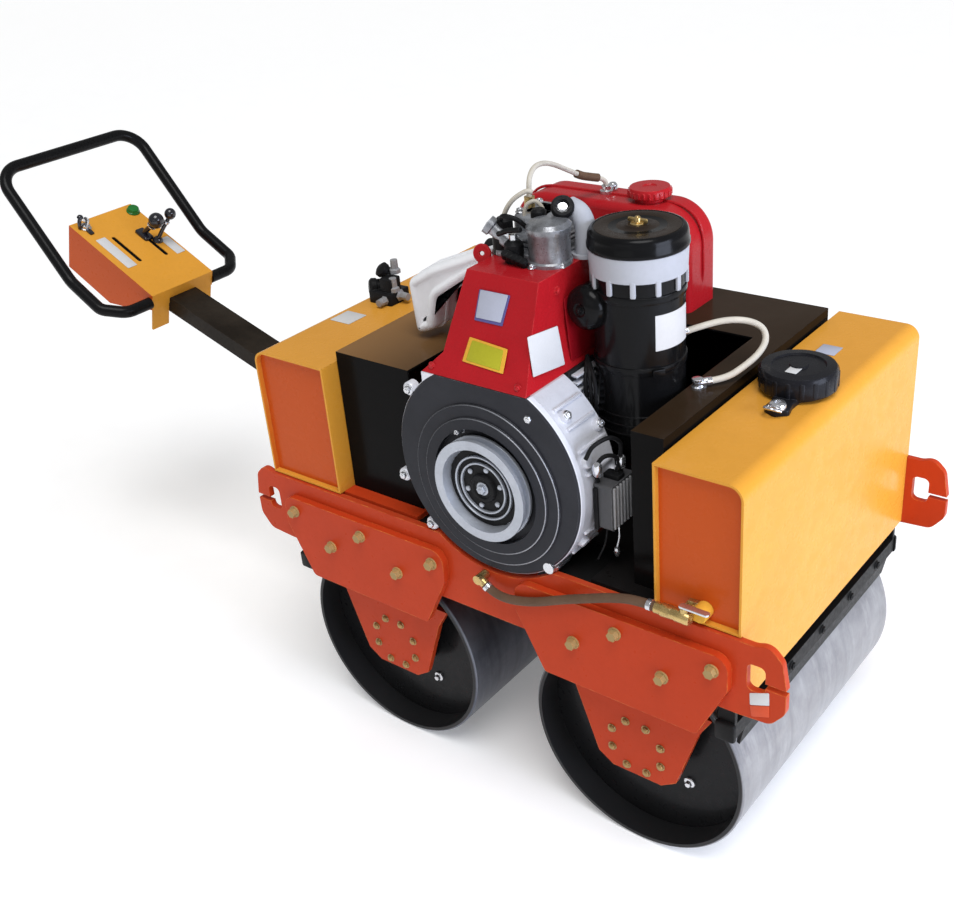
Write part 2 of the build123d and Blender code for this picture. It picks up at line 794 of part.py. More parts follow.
# Fuel tank
fuel_base = hood_top
fuel_top = fuel_base + fuel_height
with BuildPart() as fuel_tank:
    with BuildSketch(Plane.XZ.offset(-fuel_left)) as fuel_side:
        with BuildLine():
            Polyline((fuel_rear, fuel_base), (fuel_front, fuel_base),
                     (fuel_front, fuel_top), (fuel_rear, fuel_top), close=True)
        make_face()
        fillet(fuel_side.vertices().group_by(Axis.Y)[-1], fuel_corner)
    extrude(amount=fuel_left - fuel_right)
    side_faces = fuel_tank.faces().filter_by(Axis.Y)
    fillet([edge for face in side_faces for edge in face.edges() if edge.center().Z > fuel_base + fuel_edge],
           fuel_edge)
save(fuel_tank.part, "fuel_tank")
save(turned((fuel_cap_x, (fuel_right + fuel_left) / 2, fuel_top), upward, [
    (0, seat_gap), (fuel_neck_radius, seat_gap), (fuel_neck_radius, fuel_neck_height),
    (fuel_cap_radius, fuel_neck_height), (fuel_cap_radius, fuel_cap_height), (0, fuel_cap_height)]),
     "fuel_cap")

# Muffler
muffler_outline = [
    (-41, 1059), (-205, 992), (-262, 958), (-252, 846), (-206, 866), (-190, 930), (-100, 990), (-57, 1011)]
save(upright_plate(muffler_outline, -muffler_right, -muffler_left, muffler_corner), "muffler")

# Control box on the fan housing's front side
control_x = crank_x + fan_radius + seat_gap
save(block((control_x, -control_right, control_bottom), (control_x + control_depth, -control_left, control_top),
           control_bevel), "control_box")

# Water valve, its hose and the tee on the beam
valve_z = tank_bottom + valve_rise
valve_y = -(tank_half_width + fitting_clearance)
tank_end_y = -(tank_half_width - tank_end_recess)
water_start = (valve_x - valve_reach, valve_y, valve_z)
tee_y = -(beam_half_width + hose_tee_offset)
port_way = Vector(0.8, 0, -0.6)
tee = Vector(hose_tee_x, tee_y, hose_tee_z)
port_end = tee + port_way * hose_port
with BuildPart() as water_fittings:
    add(rod((valve_x, tank_end_y - seat_gap, valve_z), (valve_x, valve_y, valve_z), valve_radius))
    add(rod((valve_x, valve_y, valve_z), water_start, valve_stub))
    add(rod((hose_tee_x, -beam_half_width - seat_gap, hose_tee_z),
            (hose_tee_x, tee_y - hose_tee_radius, hose_tee_z), hose_tee_radius))
    add(rod(tee, port_end, hose_tee_radius))
save(water_fittings.part, "water_fittings")

belly_y = valve_y - hose_belly
save(hose([
    water_start, (330, valve_y, 582), (290, valve_y - 3, 573), (240, belly_y, 555), (190, belly_y, 534),
    (140, belly_y, 510), (95, belly_y, 495), (58, belly_y + 2, 488.5), (30, tee_y, 491.5), tuple(port_end)],
    water_hose_size), "water_hose")

# Breather hose, from the air filter to a fitting on the hood
breather_z = hood_top + breather_rise
breather_end = Vector(319.4, -94.6, breather_z)
breather_last = Vector(336, -75, breather_z)
breather_in = (breather_end - breather_last).normalized()
breather_post = breather_end + breather_in * breather_post_inset
with BuildPart() as breather_fittings:
    add(rod(breather_end, breather_end + breather_in * breather_ferrule,
            breather_hose_size / 2 + breather_ferrule_wall))
    add(rod((breather_post.X, breather_post.Y, hood_top + seat_gap), breather_post, breather_post_radius))
save(breather_fittings.part, "breather_fittings")
save(hose([
    tuple(breather_start), tuple(breather_next), (304, -16, 929), (330, 8, 924), (352, 19, 912), (362, 13, 893),
    (361, -12, 878), (351, -44, 866), tuple(breather_last), tuple(breather_end)], breather_hose_size),
    "breather_hose")

# Fuel pipe, from the head to the tank
pipe_outlet_y = (fuel_right + fuel_left) / 2
pipe_start = (pipe_inlet_x, pipe_inlet_y, head_top + pipe_inlet_rise)
pipe_end = (pipe_outlet_x, pipe_outlet_y, fuel_top + pipe_outlet_rise)
with BuildPart() as fuel_fittings:
    add(rod((pipe_inlet_x, pipe_inlet_y, head_top + seat_gap), pipe_start, pipe_fitting))
    add(rod((pipe_outlet_x, pipe_outlet_y, fuel_top + seat_gap), pipe_end, pipe_fitting))
save(fuel_fittings.part, "fuel_fittings")
pipe_bends = (  # X, Y, height above the fuel tank
    (pipe_inlet_x, pipe_inlet_y, 117), (-12, -104, 131), (-24, -72, 132), (-44, -18, 119), (-66, 42, 96),
    (-84, 98, 71), (-88, 140, 50), (-80, 168, 38), (-70, 190, 31), (pipe_outlet_x, pipe_outlet_y, 21))
save(hose([pipe_start, *[(x, y, fuel_top + rise) for x, y, rise in pipe_bends], pipe_end], fuel_pipe_size),
     "fuel_pipe")

# Valve on the rear box
with BuildPart() as rear_valve:
    with BuildSketch(Plane.XY.offset(tank_top + seat_gap)):
        with Locations((box_valve_x, box_valve_y)):
            Rectangle(box_valve_length, box_valve_width)
    extrude(amount=box_valve_height)
    add(rod((box_valve_x, box_valve_y, tank_top + box_valve_height),
            (box_valve_x, box_valve_y, tank_top + box_valve_top), box_valve_stem))
save(rear_valve.part, "rear_valve")

# Drawbar and its bracket
along = Vector(-cos(radians(bar_angle)), 0, sin(radians(bar_angle)))
below = Vector(-sin(radians(bar_angle)), 0, -cos(radians(bar_angle)))
pivot = Vector(pivot_x, 0, pivot_z)
bar_plane = Plane(origin=pivot, x_dir=along, z_dir=(0, 1, 0))
with BuildPart() as drawbar:
    with BuildSketch(bar_plane.offset(-bar_half_width)):
        with Locations((bar_length / 2, 0)):
            Rectangle(bar_length, bar_height)
        Circle(bar_height / 2)
        Circle(pivot_radius + bore_gap, mode=Mode.SUBTRACT)
    extrude(amount=2 * bar_half_width)
save(drawbar.part, "drawbar")

stop_centre = pivot + along * stop_reach + below * (bar_height / 2 + seat_gap + stop_radius)
lug_inner = bar_half_width + lug_gap
lug_outer = lug_inner + lug_plate
lug_tip = box_rear - lug_reach
lug_outline = [
    (box_rear, pivot_z - lug_half_height), (lug_tip, pivot_z - lug_half_height),
    (lug_tip, pivot_z - lug_tip_drop), (box_rear - lug_slope_start, pivot_z + lug_slope_rise),
    (box_rear, pivot_z + lug_half_height)]
with BuildPart() as drawbar_bracket:
    for side in (-1, 1):
        y_low, y_high = side_span(side, lug_inner, lug_outer)
        with BuildSketch(Plane.XZ.offset(-y_high)):
            with BuildLine():
                Polyline(*lug_outline, close=True)
            make_face()
        extrude(amount=y_high - y_low)
    for centre, radius in ((pivot, pivot_radius), (stop_centre, stop_radius)):
        with BuildSketch(Plane.XZ.offset(-lug_outer)):
            with Locations((centre.X, centre.Z)):
                Circle(radius)
        extrude(amount=2 * lug_outer)
save(drawbar_bracket.part, "drawbar_bracket")

# Console: a sheet box over the bar's end, with a tab down each side of the bar and two slots on top
top_rear = Vector(console_top_rear[0], 0, console_top_rear[1])
top_front = Vector(console_top_front[0], 0, console_top_front[1])
down_top = (top_front - top_rear).normalized()
off_top = Vector(-down_top.Z, 0, down_top.X)
console_outline = [
    console_top_front, console_top_rear, (-1480, 760), (-1339, 688), (-1250, 690), (-1170, 700)]
bar_cutout_inset = 260  # from the bar's end to the middle of the opening below it
bar_cutout_length = 60
slot_width = 10
slots =((86, 193, -31), (104, 205, 40))  # start and end along the top from its rear edge, Y
tab_points = [top_front, top_front + below * tab_height,
              top_front + below * tab_height + along * tab_plate, top_front + along * tab_plate]
with BuildPart() as console:
    for half, mode, inset in ((console_half_width, Mode.ADD, 0),
                              (console_half_width - console_sheet, Mode.SUBTRACT, console_sheet)):
        with BuildSketch(Plane.XZ.offset(-half)):
            with BuildLine():
                Polyline(*console_outline, close=True)
            make_face()
            if inset:
                offset(amount=-inset, mode=Mode.REPLACE)
        extrude(amount=2 * half, mode=mode)
    for side in (-1, 1):
        y_low, y_high = side_span(side, tab_inner, tab_outer)
        with BuildSketch(Plane.XZ.offset(-y_high)):
            with BuildLine():
                Polyline(*[(point.X, point.Z) for point in tab_points], close=True)
            make_face()
        extrude(amount=y_high - y_low)
    with BuildSketch(bar_plane.offset(-(bar_half_width + seat_gap))):
        with Locations((bar_length / 2, 0)):
            Rectangle(bar_length, bar_height + 2 * seat_gap)
        with Locations((bar_length - bar_cutout_inset, -bar_height)):
            Rectangle(bar_cutout_length, bar_height)
    extrude(amount=2 * (bar_half_width + seat_gap), mode=Mode.SUBTRACT)
    with BuildSketch(Plane(origin=top_rear + off_top, x_dir=down_top, z_dir=off_top)):
        for start, end, slot_y in slots:
            with Locations(((start + end) / 2, slot_y)):
                SlotOverall(end - start, slot_width)
    extrude(amount=-2 * console_sheet, mode=Mode.SUBTRACT)
save(console.part, "console")

# Handle: from each side of the console out and back round to the grip
leg_points = [  # X, distance from the middle, Z
    (-1172, console_half_width + seat_gap, 718), (-1172, 160, 718), (-1215, grip_half_width, 732),
    (-1310, grip_half_width, 785), (grip_x, grip_half_width, grip_z)]
leg_bends = [40, 30, 70, grip_bend]
handle_route = [(x, -y, z) for x, y, z in leg_points] + [(x, y, z) for x, y, z in reversed(leg_points)]
with BuildPart() as handle:
    with BuildLine() as handle_line:
        FilletPolyline(*handle_route, radius=leg_bends + leg_bends[::-1])
    start = Vector(*handle_route[0])
    with BuildSketch(Plane(origin=start, z_dir=Vector(*handle_route[1]) - start)):
        Circle(grip_radius)
    sweep(path=handle_line.wires()[0])
save(handle.part, "handle")


def on_top(along_top, y, height=seat_gap):
    """A point on the console's sloping top."""
    return top_rear + down_top * along_top + off_top * height + Vector(0, y, 0)


# Controls on the console's top
button_radius = 13
button_height = 14
key_radius = 12
key_height = 12
save(rod(on_top(29, 78), on_top(29, 78, button_height), button_radius), "start_button")
save(rod(on_top(28, -65), on_top(28, -65, key_height), key_radius), "key_switch")
lever_foot_radius = 13
lever_foot_height = 10
lever_radius = 6
lever_rows = (  # foot along the top and Y, knob along, Y and height, knob's radius
    (116, 40, 145, 48, 60, 19), (150, 56, 152, 84, 72, 14))
with BuildPart() as levers:
    for foot_at, foot_y, knob_at, knob_y, knob_height, knob_radius in lever_rows:
        foot = on_top(foot_at, foot_y, lever_foot_height)
        tip = on_top(knob_at, knob_y, knob_height)
        add(rod(on_top(foot_at, foot_y), foot, lever_foot_radius))
        add(rod(foot - off_top * 2, tip, lever_radius))
        with Locations(tip):
            Sphere(knob_radius)
save(levers.part, "levers")
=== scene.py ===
import json
from math import cos, pi, radians, sin

import bmesh
import bpy
from mathutils import Matrix, Vector


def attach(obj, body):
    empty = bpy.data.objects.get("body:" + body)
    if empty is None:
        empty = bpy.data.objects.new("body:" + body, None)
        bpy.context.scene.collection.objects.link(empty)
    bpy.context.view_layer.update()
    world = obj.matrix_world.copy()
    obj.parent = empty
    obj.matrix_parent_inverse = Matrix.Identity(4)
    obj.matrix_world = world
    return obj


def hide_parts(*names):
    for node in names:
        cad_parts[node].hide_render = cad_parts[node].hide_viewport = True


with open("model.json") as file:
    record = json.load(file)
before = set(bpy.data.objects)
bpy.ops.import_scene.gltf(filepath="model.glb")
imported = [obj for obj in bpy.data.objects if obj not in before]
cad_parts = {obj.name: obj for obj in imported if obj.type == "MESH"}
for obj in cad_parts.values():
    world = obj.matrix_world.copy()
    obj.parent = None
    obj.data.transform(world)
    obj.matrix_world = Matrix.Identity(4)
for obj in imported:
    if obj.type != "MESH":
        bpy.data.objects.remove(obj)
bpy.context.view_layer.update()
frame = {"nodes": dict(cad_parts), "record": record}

# Walk-behind roller. Metres. +X points forward, away from the handle, +Y to the roller's left, +Z up.
# Places are given from the point on the ground midway between the drums. at() moves them into the
# frame, whose origin lies under the middle of the machine's length.
MIDDLE = 0.4725
RIGHT = (0, -1, 0)
LEFT = (0, 1, 0)
FORWARD = (1, 0, 0)
BACK = (-1, 0, 0)
UP = (0, 0, 1)
DOWN = (0, 0, -1)

# The camera that took the photograph
CAMERA_PLACE = (1.67736, -1.71133, 1.73784)
CAMERA_RIGHT = (0.78179241, 0.61805021, -0.08255035)
CAMERA_UP = (-0.23748762, 0.41755241, 0.87706876)
CAMERA_BACK = (0.57654163, -0.66608102, 0.47321858)
CAMERA_LENS = 46.7
SENSOR_WIDTH = 36

# Sizes that the solids share with the dressing
AXLE_X = 0.286
AXLE_Z = 0.213
DRUM_RADIUS = 0.213
BEAM_FACE = 0.336
BRACKET_FACE = 0.35
HUB_FACE = 0.296
DISC_FACE = 0.25
CRANK = (0.03, 0.695)
FAN_MIDDLE = (0.03, 0.716)
FAN_FACE = 0.345
FAN_RADIUS = 0.191
RIM_FACE = 0.337
PULLEY_FLOOR = 0.343
TANK_PLATE = 0.315
TANK_SIDE = 0.3203
TANK_TOP = 0.825
DECK_TOP = 0.549
HOOD_TOP = 0.845
SHROUD_FOOT = 0.8803
SHROUD_TOP = 1.0483
FILTER = (0.205, -0.125)
FUEL_TOP = 1.035
FUEL_Y = 0.2
PIPE_X = -0.067
VALVE_Y = -0.352
VALVE_Z = 0.582
CONSOLE_SIDE = 0.0925
SCRAPER_Z = 0.364
SCRAPER_END = (0.4767, 0.3239)
SCRAPER_FACE = 0.492
HINGE_SIDE = 0.057

# What a fitting or a label is lifted off the face that it lies on
LIFT = 0.0003


def at(x, y, z):
    """A place given from the point between the drums, in the frame."""
    return Vector((x + MIDDLE, y, z))


def added(name, data):
    """An object, put into the scene."""
    made = bpy.data.objects.new(name, data)
    bpy.context.collection.objects.link(made)
    return made


def camera():
    """The camera that stands where the photograph's did."""
    data = bpy.data.cameras.new("photo_camera")
    data.lens = CAMERA_LENS
    data.sensor_width = SENSOR_WIDTH
    data.sensor_fit = "HORIZONTAL"
    data.clip_end = 50
    eye = added("photo_camera", data)
    turn = Matrix((CAMERA_RIGHT, CAMERA_UP, CAMERA_BACK)).transposed().to_4x4()
    eye.matrix_world = Matrix.Translation(CAMERA_PLACE) @ turn
    bpy.context.scene.camera = eye


camera()


# Node helpers
def plug(tree, socket, value):
    """Link a socket to another, or set its number or colour."""
    if isinstance(value, bpy.types.NodeSocket):
        tree.links.new(value, socket)
    elif isinstance(value, tuple) and len(value) == 3 and socket.type == "RGBA":
        socket.default_value = (*value, 1)
    else:
        socket.default_value = value


def make(tree, kind, inputs=None, **settings):
    """A shader node with its settings and inputs."""
    node = tree.nodes.new("ShaderNode" + kind)
    for key, value in settings.items():
        setattr(node, key, value)
    for key, value in (inputs or {}).items():
        plug(tree, node.inputs[key], value)
    return node


def noise(tree, scale, detail=3, roughness=0.5, stretch=(1, 1, 1)):
    """A noise value from 0 to 1, so many waves to the metre, stretched along the axes."""
    source = make(tree, "TexCoord").outputs["Object"]
    stretched = make(tree, "Mapping", {"Vector": source, "Scale": stretch}).outputs[0]
    inputs = {"Vector": stretched, "Scale": scale, "Detail": detail, "Roughness": roughness}
    return make(tree, "TexNoise", inputs).outputs[0]


def remap(tree, value, low, high, new_low=0, new_high=1):
    """A value moved from one range to another and kept inside it."""
    inputs = {0: value, 1: low, 2: high, 3: new_low, 4: new_high}
    return make(tree, "MapRange", inputs).outputs[0]


def math(tree, operation, first, second=0):
    return make(tree, "Math", {0: first, 1: second}, operation=operation).outputs[0]


def times(tree, first, second):
    return math(tree, "MULTIPLY", first, second)


def blend(tree, factor, first, second):
    """One colour laid over another."""
    node = make(tree, "Mix", data_type="RGBA")
    for index, value in ((0, factor), (6, first), (7, second)):
        plug(tree, node.inputs[index], value)
    return node.outputs[2]


def component(tree, vector, axis):
    return make(tree, "SeparateXYZ", {0: vector}).outputs["XYZ".index(axis)]


def place_of(tree, axis):
    """One of the object's coordinates."""
    return component(tree, make(tree, "TexCoord").outputs["Object"], axis)


def facing(tree, axis, kind="True Normal"):
    """How far the surface faces along an axis."""
    return component(tree, make(tree, "NewGeometry").outputs[kind], axis)


def softened(tree, radius):
    """The normal as it would be with rounded edges."""
    return make(tree, "Bevel", {"Radius": radius}, samples=4).outputs[0]


def edges(tree, radius):
    """1 along the edges, 0 on the flats."""
    flat = make(tree, "NewGeometry").outputs["Normal"]
    same = make(tree, "VectorMath", {0: softened(tree, radius), 1: flat}, operation="DOT_PRODUCT")
    return remap(tree, same.outputs["Value"], 0.97, 0.7)


def lumps(tree, shader, height, strength, reach, normal):
    """Small bumps on a shader, laid over a normal."""
    inputs = {"Strength": strength, "Distance": reach, "Height": height, "Normal": normal}
    plug(tree, shader.inputs["Normal"], make(tree, "Bump", inputs).outputs[0])


def shade(base, amount):
    return tuple(channel * amount for channel in base)


def grey(value):
    return (value, value, value)


materials = {}


def surface(name):
    """A new material, kept under its name, with its node tree and its shader."""
    made = bpy.data.materials.new(name)
    made.use_nodes = True
    materials[name] = made
    return made.node_tree, made.node_tree.nodes["Principled BSDF"]


def coating(name, base, dark=0.8, mottle=7, roughness=0.3, spread=0.1, metallic=0, coat=0,
            worn=None, wear=0.5, wear_radius=0.0016, dust=0, grain=700, bump=0.05, soft=0.0012,
            gloss=0.1, layers=()):
    """A painted, cast or moulded surface. layers are functions that add to the colour."""
    tree, shader = surface(name)
    wide = noise(tree, mottle, 4, 0.6)
    fine = noise(tree, mottle * 11, 3, 0.6)
    colour = blend(tree, remap(tree, wide, 0.3, 0.72), shade(base, dark), base)
    colour = blend(tree, remap(tree, fine, 0.45, 0.8, 0, 0.35), colour, shade(base, dark * 0.9))
    for layer in layers:
        colour = layer(tree, colour)
    rough = remap(tree, fine, 0.3, 0.75, roughness - spread, roughness + spread)
    if worn:
        chips = remap(tree, noise(tree, mottle * 6, 5, 0.7), 0.42, 0.62)
        mask = times(tree, times(tree, edges(tree, wear_radius), chips), wear)
        colour = blend(tree, mask, colour, worn)
    if dust:
        lying = times(tree, remap(tree, facing(tree, "Z", "Normal"), 0.2, 1), remap(tree, wide, 0.35, 0.75))
        colour = blend(tree, times(tree, lying, dust), colour, (0.36, 0.3, 0.24))
        rough = math(tree, "ADD", rough, times(tree, lying, dust * 0.5))
    plug(tree, shader.inputs["Base Color"], colour)
    plug(tree, shader.inputs["Roughness"], rough)
    shader.inputs["Metallic"].default_value = metallic
    shader.inputs["Specular IOR Level"].default_value = gloss
    shader.inputs["Coat Weight"].default_value = coat
    shader.inputs["Coat Roughness"].default_value = 0.08
    lumps(tree, shader, noise(tree, grain, 2), bump, 0.001, softened(tree, soft))


def outside(tree, limit):
    """1 where the distance from the centre plane is over a limit."""
    return remap(tree, math(tree, "ABSOLUTE", place_of(tree, "Y")), limit - 0.0002, limit + 0.0002)


def layer_outside(limit, colour):
    """A second colour beyond a distance from the centre plane."""
    return lambda tree, under: blend(tree, outside(tree, limit), under, colour)


def layer_ahead(limit, colour, reach=0.02):
    """A second colour in front of a limit."""
    def layer(tree, under):
        return blend(tree, remap(tree, place_of(tree, "X"), limit - reach, limit + reach), under, colour)
    return layer


def radius_about(tree, centre):
    """The distance from an axis along Y."""
    along = math(tree, "SUBTRACT", place_of(tree, "X"), centre[0] + MIDDLE)
    rise = math(tree, "SUBTRACT", place_of(tree, "Z"), centre[1])
    square = math(tree, "ADD", times(tree, along, along), times(tree, rise, rise))
    return math(tree, "SQRT", square)


def layer_round(centre, limit, colour, reach=0.0003):
    """A second colour outside a circle."""
    def layer(tree, under):
        outer = remap(tree, radius_about(tree, centre), limit - reach, limit + reach)
        return blend(tree, outer, under, colour)
    return layer


def layer_streaks(colour, scale, stretch, amount, low=0.5, high=0.8):
    """Stretched stains."""
    def layer(tree, under):
        mask = remap(tree, noise(tree, scale, 5, 0.65, stretch), low, high, 0, amount)
        return blend(tree, mask, under, colour)
    return layer


RED_ORANGE = (0.53, 0.05, 0.012)
# The end plates' redder orange, also laid on the rear box's front as painted shade.
SIDE_ORANGE = (0.54, 0.082, 0.01)
AMBER = (0.77, 0.35, 0.042)
# Worn pale edges on the frame and brackets, partly wear and partly a painted highlight of the lit edges.
PALE_EDGE_WEAR_AND_HIGHLIGHT = (0.95, 0.36, 0.08)


def hood_painted_reflection(tree, under):
    """Painted reflection: a warm brown tone on the hood's top beside the rear box, fading towards the front.
    """
    near = remap(tree, place_of(tree, "X"), MIDDLE - 0.33, MIDDLE - 0.08, 1, 0.1)
    top = remap(tree, facing(tree, "Z"), 0.7, 0.9)
    return blend(tree, times(tree, top, near), under, (0.24, 0.125, 0.045))


def tank_ends(tree, under):
    """The recessed end plates carry the frame's redder paint."""
    inside = times(tree, outside(tree, TANK_PLATE), math(tree, "SUBTRACT", 1, outside(tree, TANK_SIDE)))
    flat = remap(tree, math(tree, "ABSOLUTE", facing(tree, "Y")), 0.7, 0.9)
    return blend(tree, times(tree, inside, flat), under, SIDE_ORANGE)


def box_front_painted_shade(tree, under):
    """Painted shade: the rear box's front face, in the hood's shade, is redder towards its foot."""
    behind = remap(tree, place_of(tree, "X"), 0, 0.1, 1, 0)
    low = remap(tree, place_of(tree, "Z"), 0.46, 0.8, 0.95, 0.45)
    flat = remap(tree, facing(tree, "X"), 0.7, 0.9)
    return blend(tree, times(tree, times(tree, flat, behind), low), under, SIDE_ORANGE)


def rim_painted_highlight(tree, under):
    """Painted highlight: the cover's rims are bright towards the front, where the light falls, and dark
    behind.
    """
    front = remap(tree, place_of(tree, "X"), MIDDLE - 0.03, MIDDLE + 0.1)
    return blend(tree, front, (0.075, 0.077, 0.085), under)


def drum_material(name, axle_x, low, high):
    """Rolled steel outside, polished by the ground, and black paint inside the rim."""
    tree, shader = surface(name)
    radius = radius_about(tree, (axle_x, AXLE_Z))
    worn = remap(tree, radius, DRUM_RADIUS - 0.0042, DRUM_RADIUS - 0.0016)
    blotches = noise(tree, 9, 6, 0.65)
    scratches = noise(tree, 60, 4, 0.7, (0.25, 1, 0.25))
    rings = noise(tree, 45, 2, 0.5, (0.05, 1, 0.05))
    steel = blend(tree, remap(tree, blotches, 0.35, 0.68), low, high)
    steel = blend(tree, remap(tree, scratches, 0.5, 0.8, 0, 0.4), steel, shade(high, 1.35))
    steel = blend(tree, remap(tree, rings, 0.5, 0.75, 0, 0.35), steel, shade(low, 0.7))
    plug(tree, shader.inputs["Base Color"], blend(tree, worn, (0.014, 0.014, 0.015), steel))
    plug(tree, shader.inputs["Roughness"], remap(tree, blotches, 0.3, 0.7, 0.3, 0.5))
    plug(tree, shader.inputs["Metallic"], times(tree, worn, 0.8))
    shader.inputs["Specular IOR Level"].default_value = 0.25
    height = math(tree, "ADD", scratches, times(tree, blotches, 2))
    lumps(tree, shader, height, 0.18, 0.0012, softened(tree, 0.0015))


def turned_metal(name, centre, base, roughness, rings=900):
    """Metal turned about an axis along Y, with fine rings."""
    coating(name, base, 0.8, 20, roughness, 0.06, metallic=0.55, gloss=0.5)
    tree = materials[name].node_tree
    shader = tree.nodes["Principled BSDF"]
    wave = math(tree, "SINE", times(tree, radius_about(tree, centre), rings * 2 * pi / 4))
    lumps(tree, shader, wave, 0.1, 0.0004, shader.inputs["Normal"].links[0].from_socket)


def paints():
    """The frame's, brackets', deck's, tanks' and console's paints."""
    bolt = layer_outside(BRACKET_FACE + LIFT, (0.38, 0.26, 0.11))
    grime = layer_streaks(shade(RED_ORANGE, 0.45), 5, (1, 1, 0.25), 0.3, 0.55, 0.85)
    shadow = layer_ahead(MIDDLE + 0.135, (0.01, 0.009, 0.009))
    coating("frame_paint", RED_ORANGE, 0.9, worn=PALE_EDGE_WEAR_AND_HIGHLIGHT, wear=0.9, wear_radius=0.0026,
            roughness=0.36, dust=0.05, layers=(grime,))
    coating("bracket_paint", RED_ORANGE, 0.92, worn=PALE_EDGE_WEAR_AND_HIGHLIGHT, wear=0.9, wear_radius=0.0026,
            roughness=0.36, layers=(grime, bolt))
    coating("deck_paint", RED_ORANGE, 0.9, roughness=0.36, layers=(shadow,))
    coating("tank_paint", AMBER, 0.92, 3, worn=(0.95, 0.56, 0.16), wear=0.7, coat=0.05, dust=0.04,
            bump=0.02, layers=(tank_ends, box_front_painted_shade))
    coating("console_paint", AMBER, 0.92, worn=(0.95, 0.5, 0.12), wear=0.7, coat=0.04,
            roughness=0.34, layers=(layer_outside(CONSOLE_SIDE, SIDE_ORANGE),))
    coating("engine_red", (0.47, 0.012, 0.018), 0.86, 6, 0.28, 0.08, coat=0.15,
            worn=(0.78, 0.08, 0.08), wear=0.8, wear_radius=0.003, dust=0.02)
    coating("red_shade", (0.3, 0.006, 0.012), 0.8, 9, 0.34, 0.08, worn=(0.6, 0.03, 0.04))


def metals():
    """Castings, sheet covers, turned parts and plated fittings."""
    oil = layer_streaks((0.16, 0.15, 0.14), 12, (1, 1, 0.4), 0.4, 0.54, 0.8)
    grease = layer_streaks((0.05, 0.045, 0.04), 16, (1, 1, 0.5), 0.7, 0.45, 0.7)
    rim = layer_round(FAN_MIDDLE, FAN_RADIUS - 0.0012, (0.76, 0.77, 0.83))
    coating("engine_cast", (0.8, 0.81, 0.87), 0.8, 14, 0.44, 0.1, 0.35,
            worn=(0.9, 0.9, 0.92), grain=420, bump=0.25, layers=(oil,))
    coating("head_cast", (0.5, 0.52, 0.56), 0.6, 22, 0.34, 0.1, 0.7,
            worn=(0.85, 0.85, 0.88), grain=420, bump=0.2, gloss=0.4, layers=(grease,))
    coating("engine_dark", (0.014, 0.014, 0.015), 0.6, 16, 0.45, 0.12, 0.05, worn=grey(0.12),
            grain=400, bump=0.3)
    # The engine block's casting drawn near black: painted shade, for it stands in shade under the hood.
    coating("block_painted_shade", (0.02, 0.02, 0.021), 0.6, 14, 0.44, 0.1, 0.05)
    coating("fan_grey", (0.036, 0.037, 0.044), 0.7, 5, 0.36, 0.08, 0.15, worn=(0.34, 0.35, 0.38),
            wear=0.6, grain=600, bump=0.08, dust=0.04, layers=(rim,))
    # The rims' bright grey is a painted highlight.
    coating("fan_edge_painted_highlight", (0.46, 0.47, 0.51), 0.7, 9, 0.3, 0.08, 0.4, layers=(rim_painted_highlight,))
    coating("muffler_silver", (0.93, 0.94, 0.97), 0.93, 8, 0.4, 0.08, worn=grey(0.95), grain=800, bump=0.06)
    coating("brass", (0.66, 0.47, 0.19), 0.7, 30, 0.3, 0.1, 0.9, worn=(0.9, 0.78, 0.5), gloss=0.5)
    coating("plated", (0.46, 0.29, 0.11), 0.65, 40, 0.32, 0.1, 0.75, worn=(0.85, 0.75, 0.5), gloss=0.5)
    coating("switch_chrome", (0.74, 0.75, 0.78), 0.85, 30, 0.16, 0.05, 0.9, gloss=0.5)
    turned_metal("pulley_steel", CRANK, (0.52, 0.55, 0.61), 0.38)
    drum_material("drum_front_steel", AXLE_X, (0.25, 0.25, 0.27), (0.44, 0.44, 0.45))
    # The rear drum's darker, bluer steel is painted shade: the drum stands in the frame's shade.
    drum_material("drum_rear_painted_shade_steel", -AXLE_X, (0.1, 0.11, 0.14), (0.2, 0.21, 0.24))


def blacks():
    """Black paint, plastic and rubber."""
    coating("hood_black", (0.006, 0.0056, 0.0056), 0.8, 5, 0.2, 0.06, worn=(0.09, 0.08, 0.08),
            wear=0.4, dust=0.03, gloss=0.04, layers=(hood_painted_reflection,))
    coating("filter_black", (0.0065, 0.0065, 0.007), 0.8, 10, 0.2, 0.06, coat=0.04, worn=grey(0.1), wear=0.4)
    coating("lid_brown", (0.03, 0.02, 0.014), 0.7, 14, 0.3, 0.08)
    coating("cap_black", (0.013, 0.013, 0.016), 0.8, 14, 0.3, 0.08, coat=0.08,
            worn=(0.1, 0.1, 0.12), bump=0.12)
    coating("scraper_black", grey(0.012), 0.7, 12, 0.45, 0.1, worn=grey(0.1))
    coating("handle_black", (0.0075, 0.0075, 0.008), 0.7, 16, 0.3, 0.08, coat=0.03, worn=grey(0.06), wear=0.1)
    coating("bar_black", (0.02, 0.014, 0.009), 0.65, 9, 0.42, 0.1, worn=(0.1, 0.08, 0.06), dust=0.05)
    coating("drum_black", (0.012, 0.012, 0.013), 0.7, 7, 0.32, 0.08, coat=0.05, worn=grey(0.08), dust=0.03)
    coating("lever_black", (0.01, 0.01, 0.016), 0.8, 30, 0.16, 0.05, coat=0.4, gloss=0.5)
    # A near-black sheet that stands for the shade inside openings and slots: painted shade.
    coating("painted_shade_gap", grey(0.004), 0.7, 20, 0.8, 0.1, gloss=0.05)


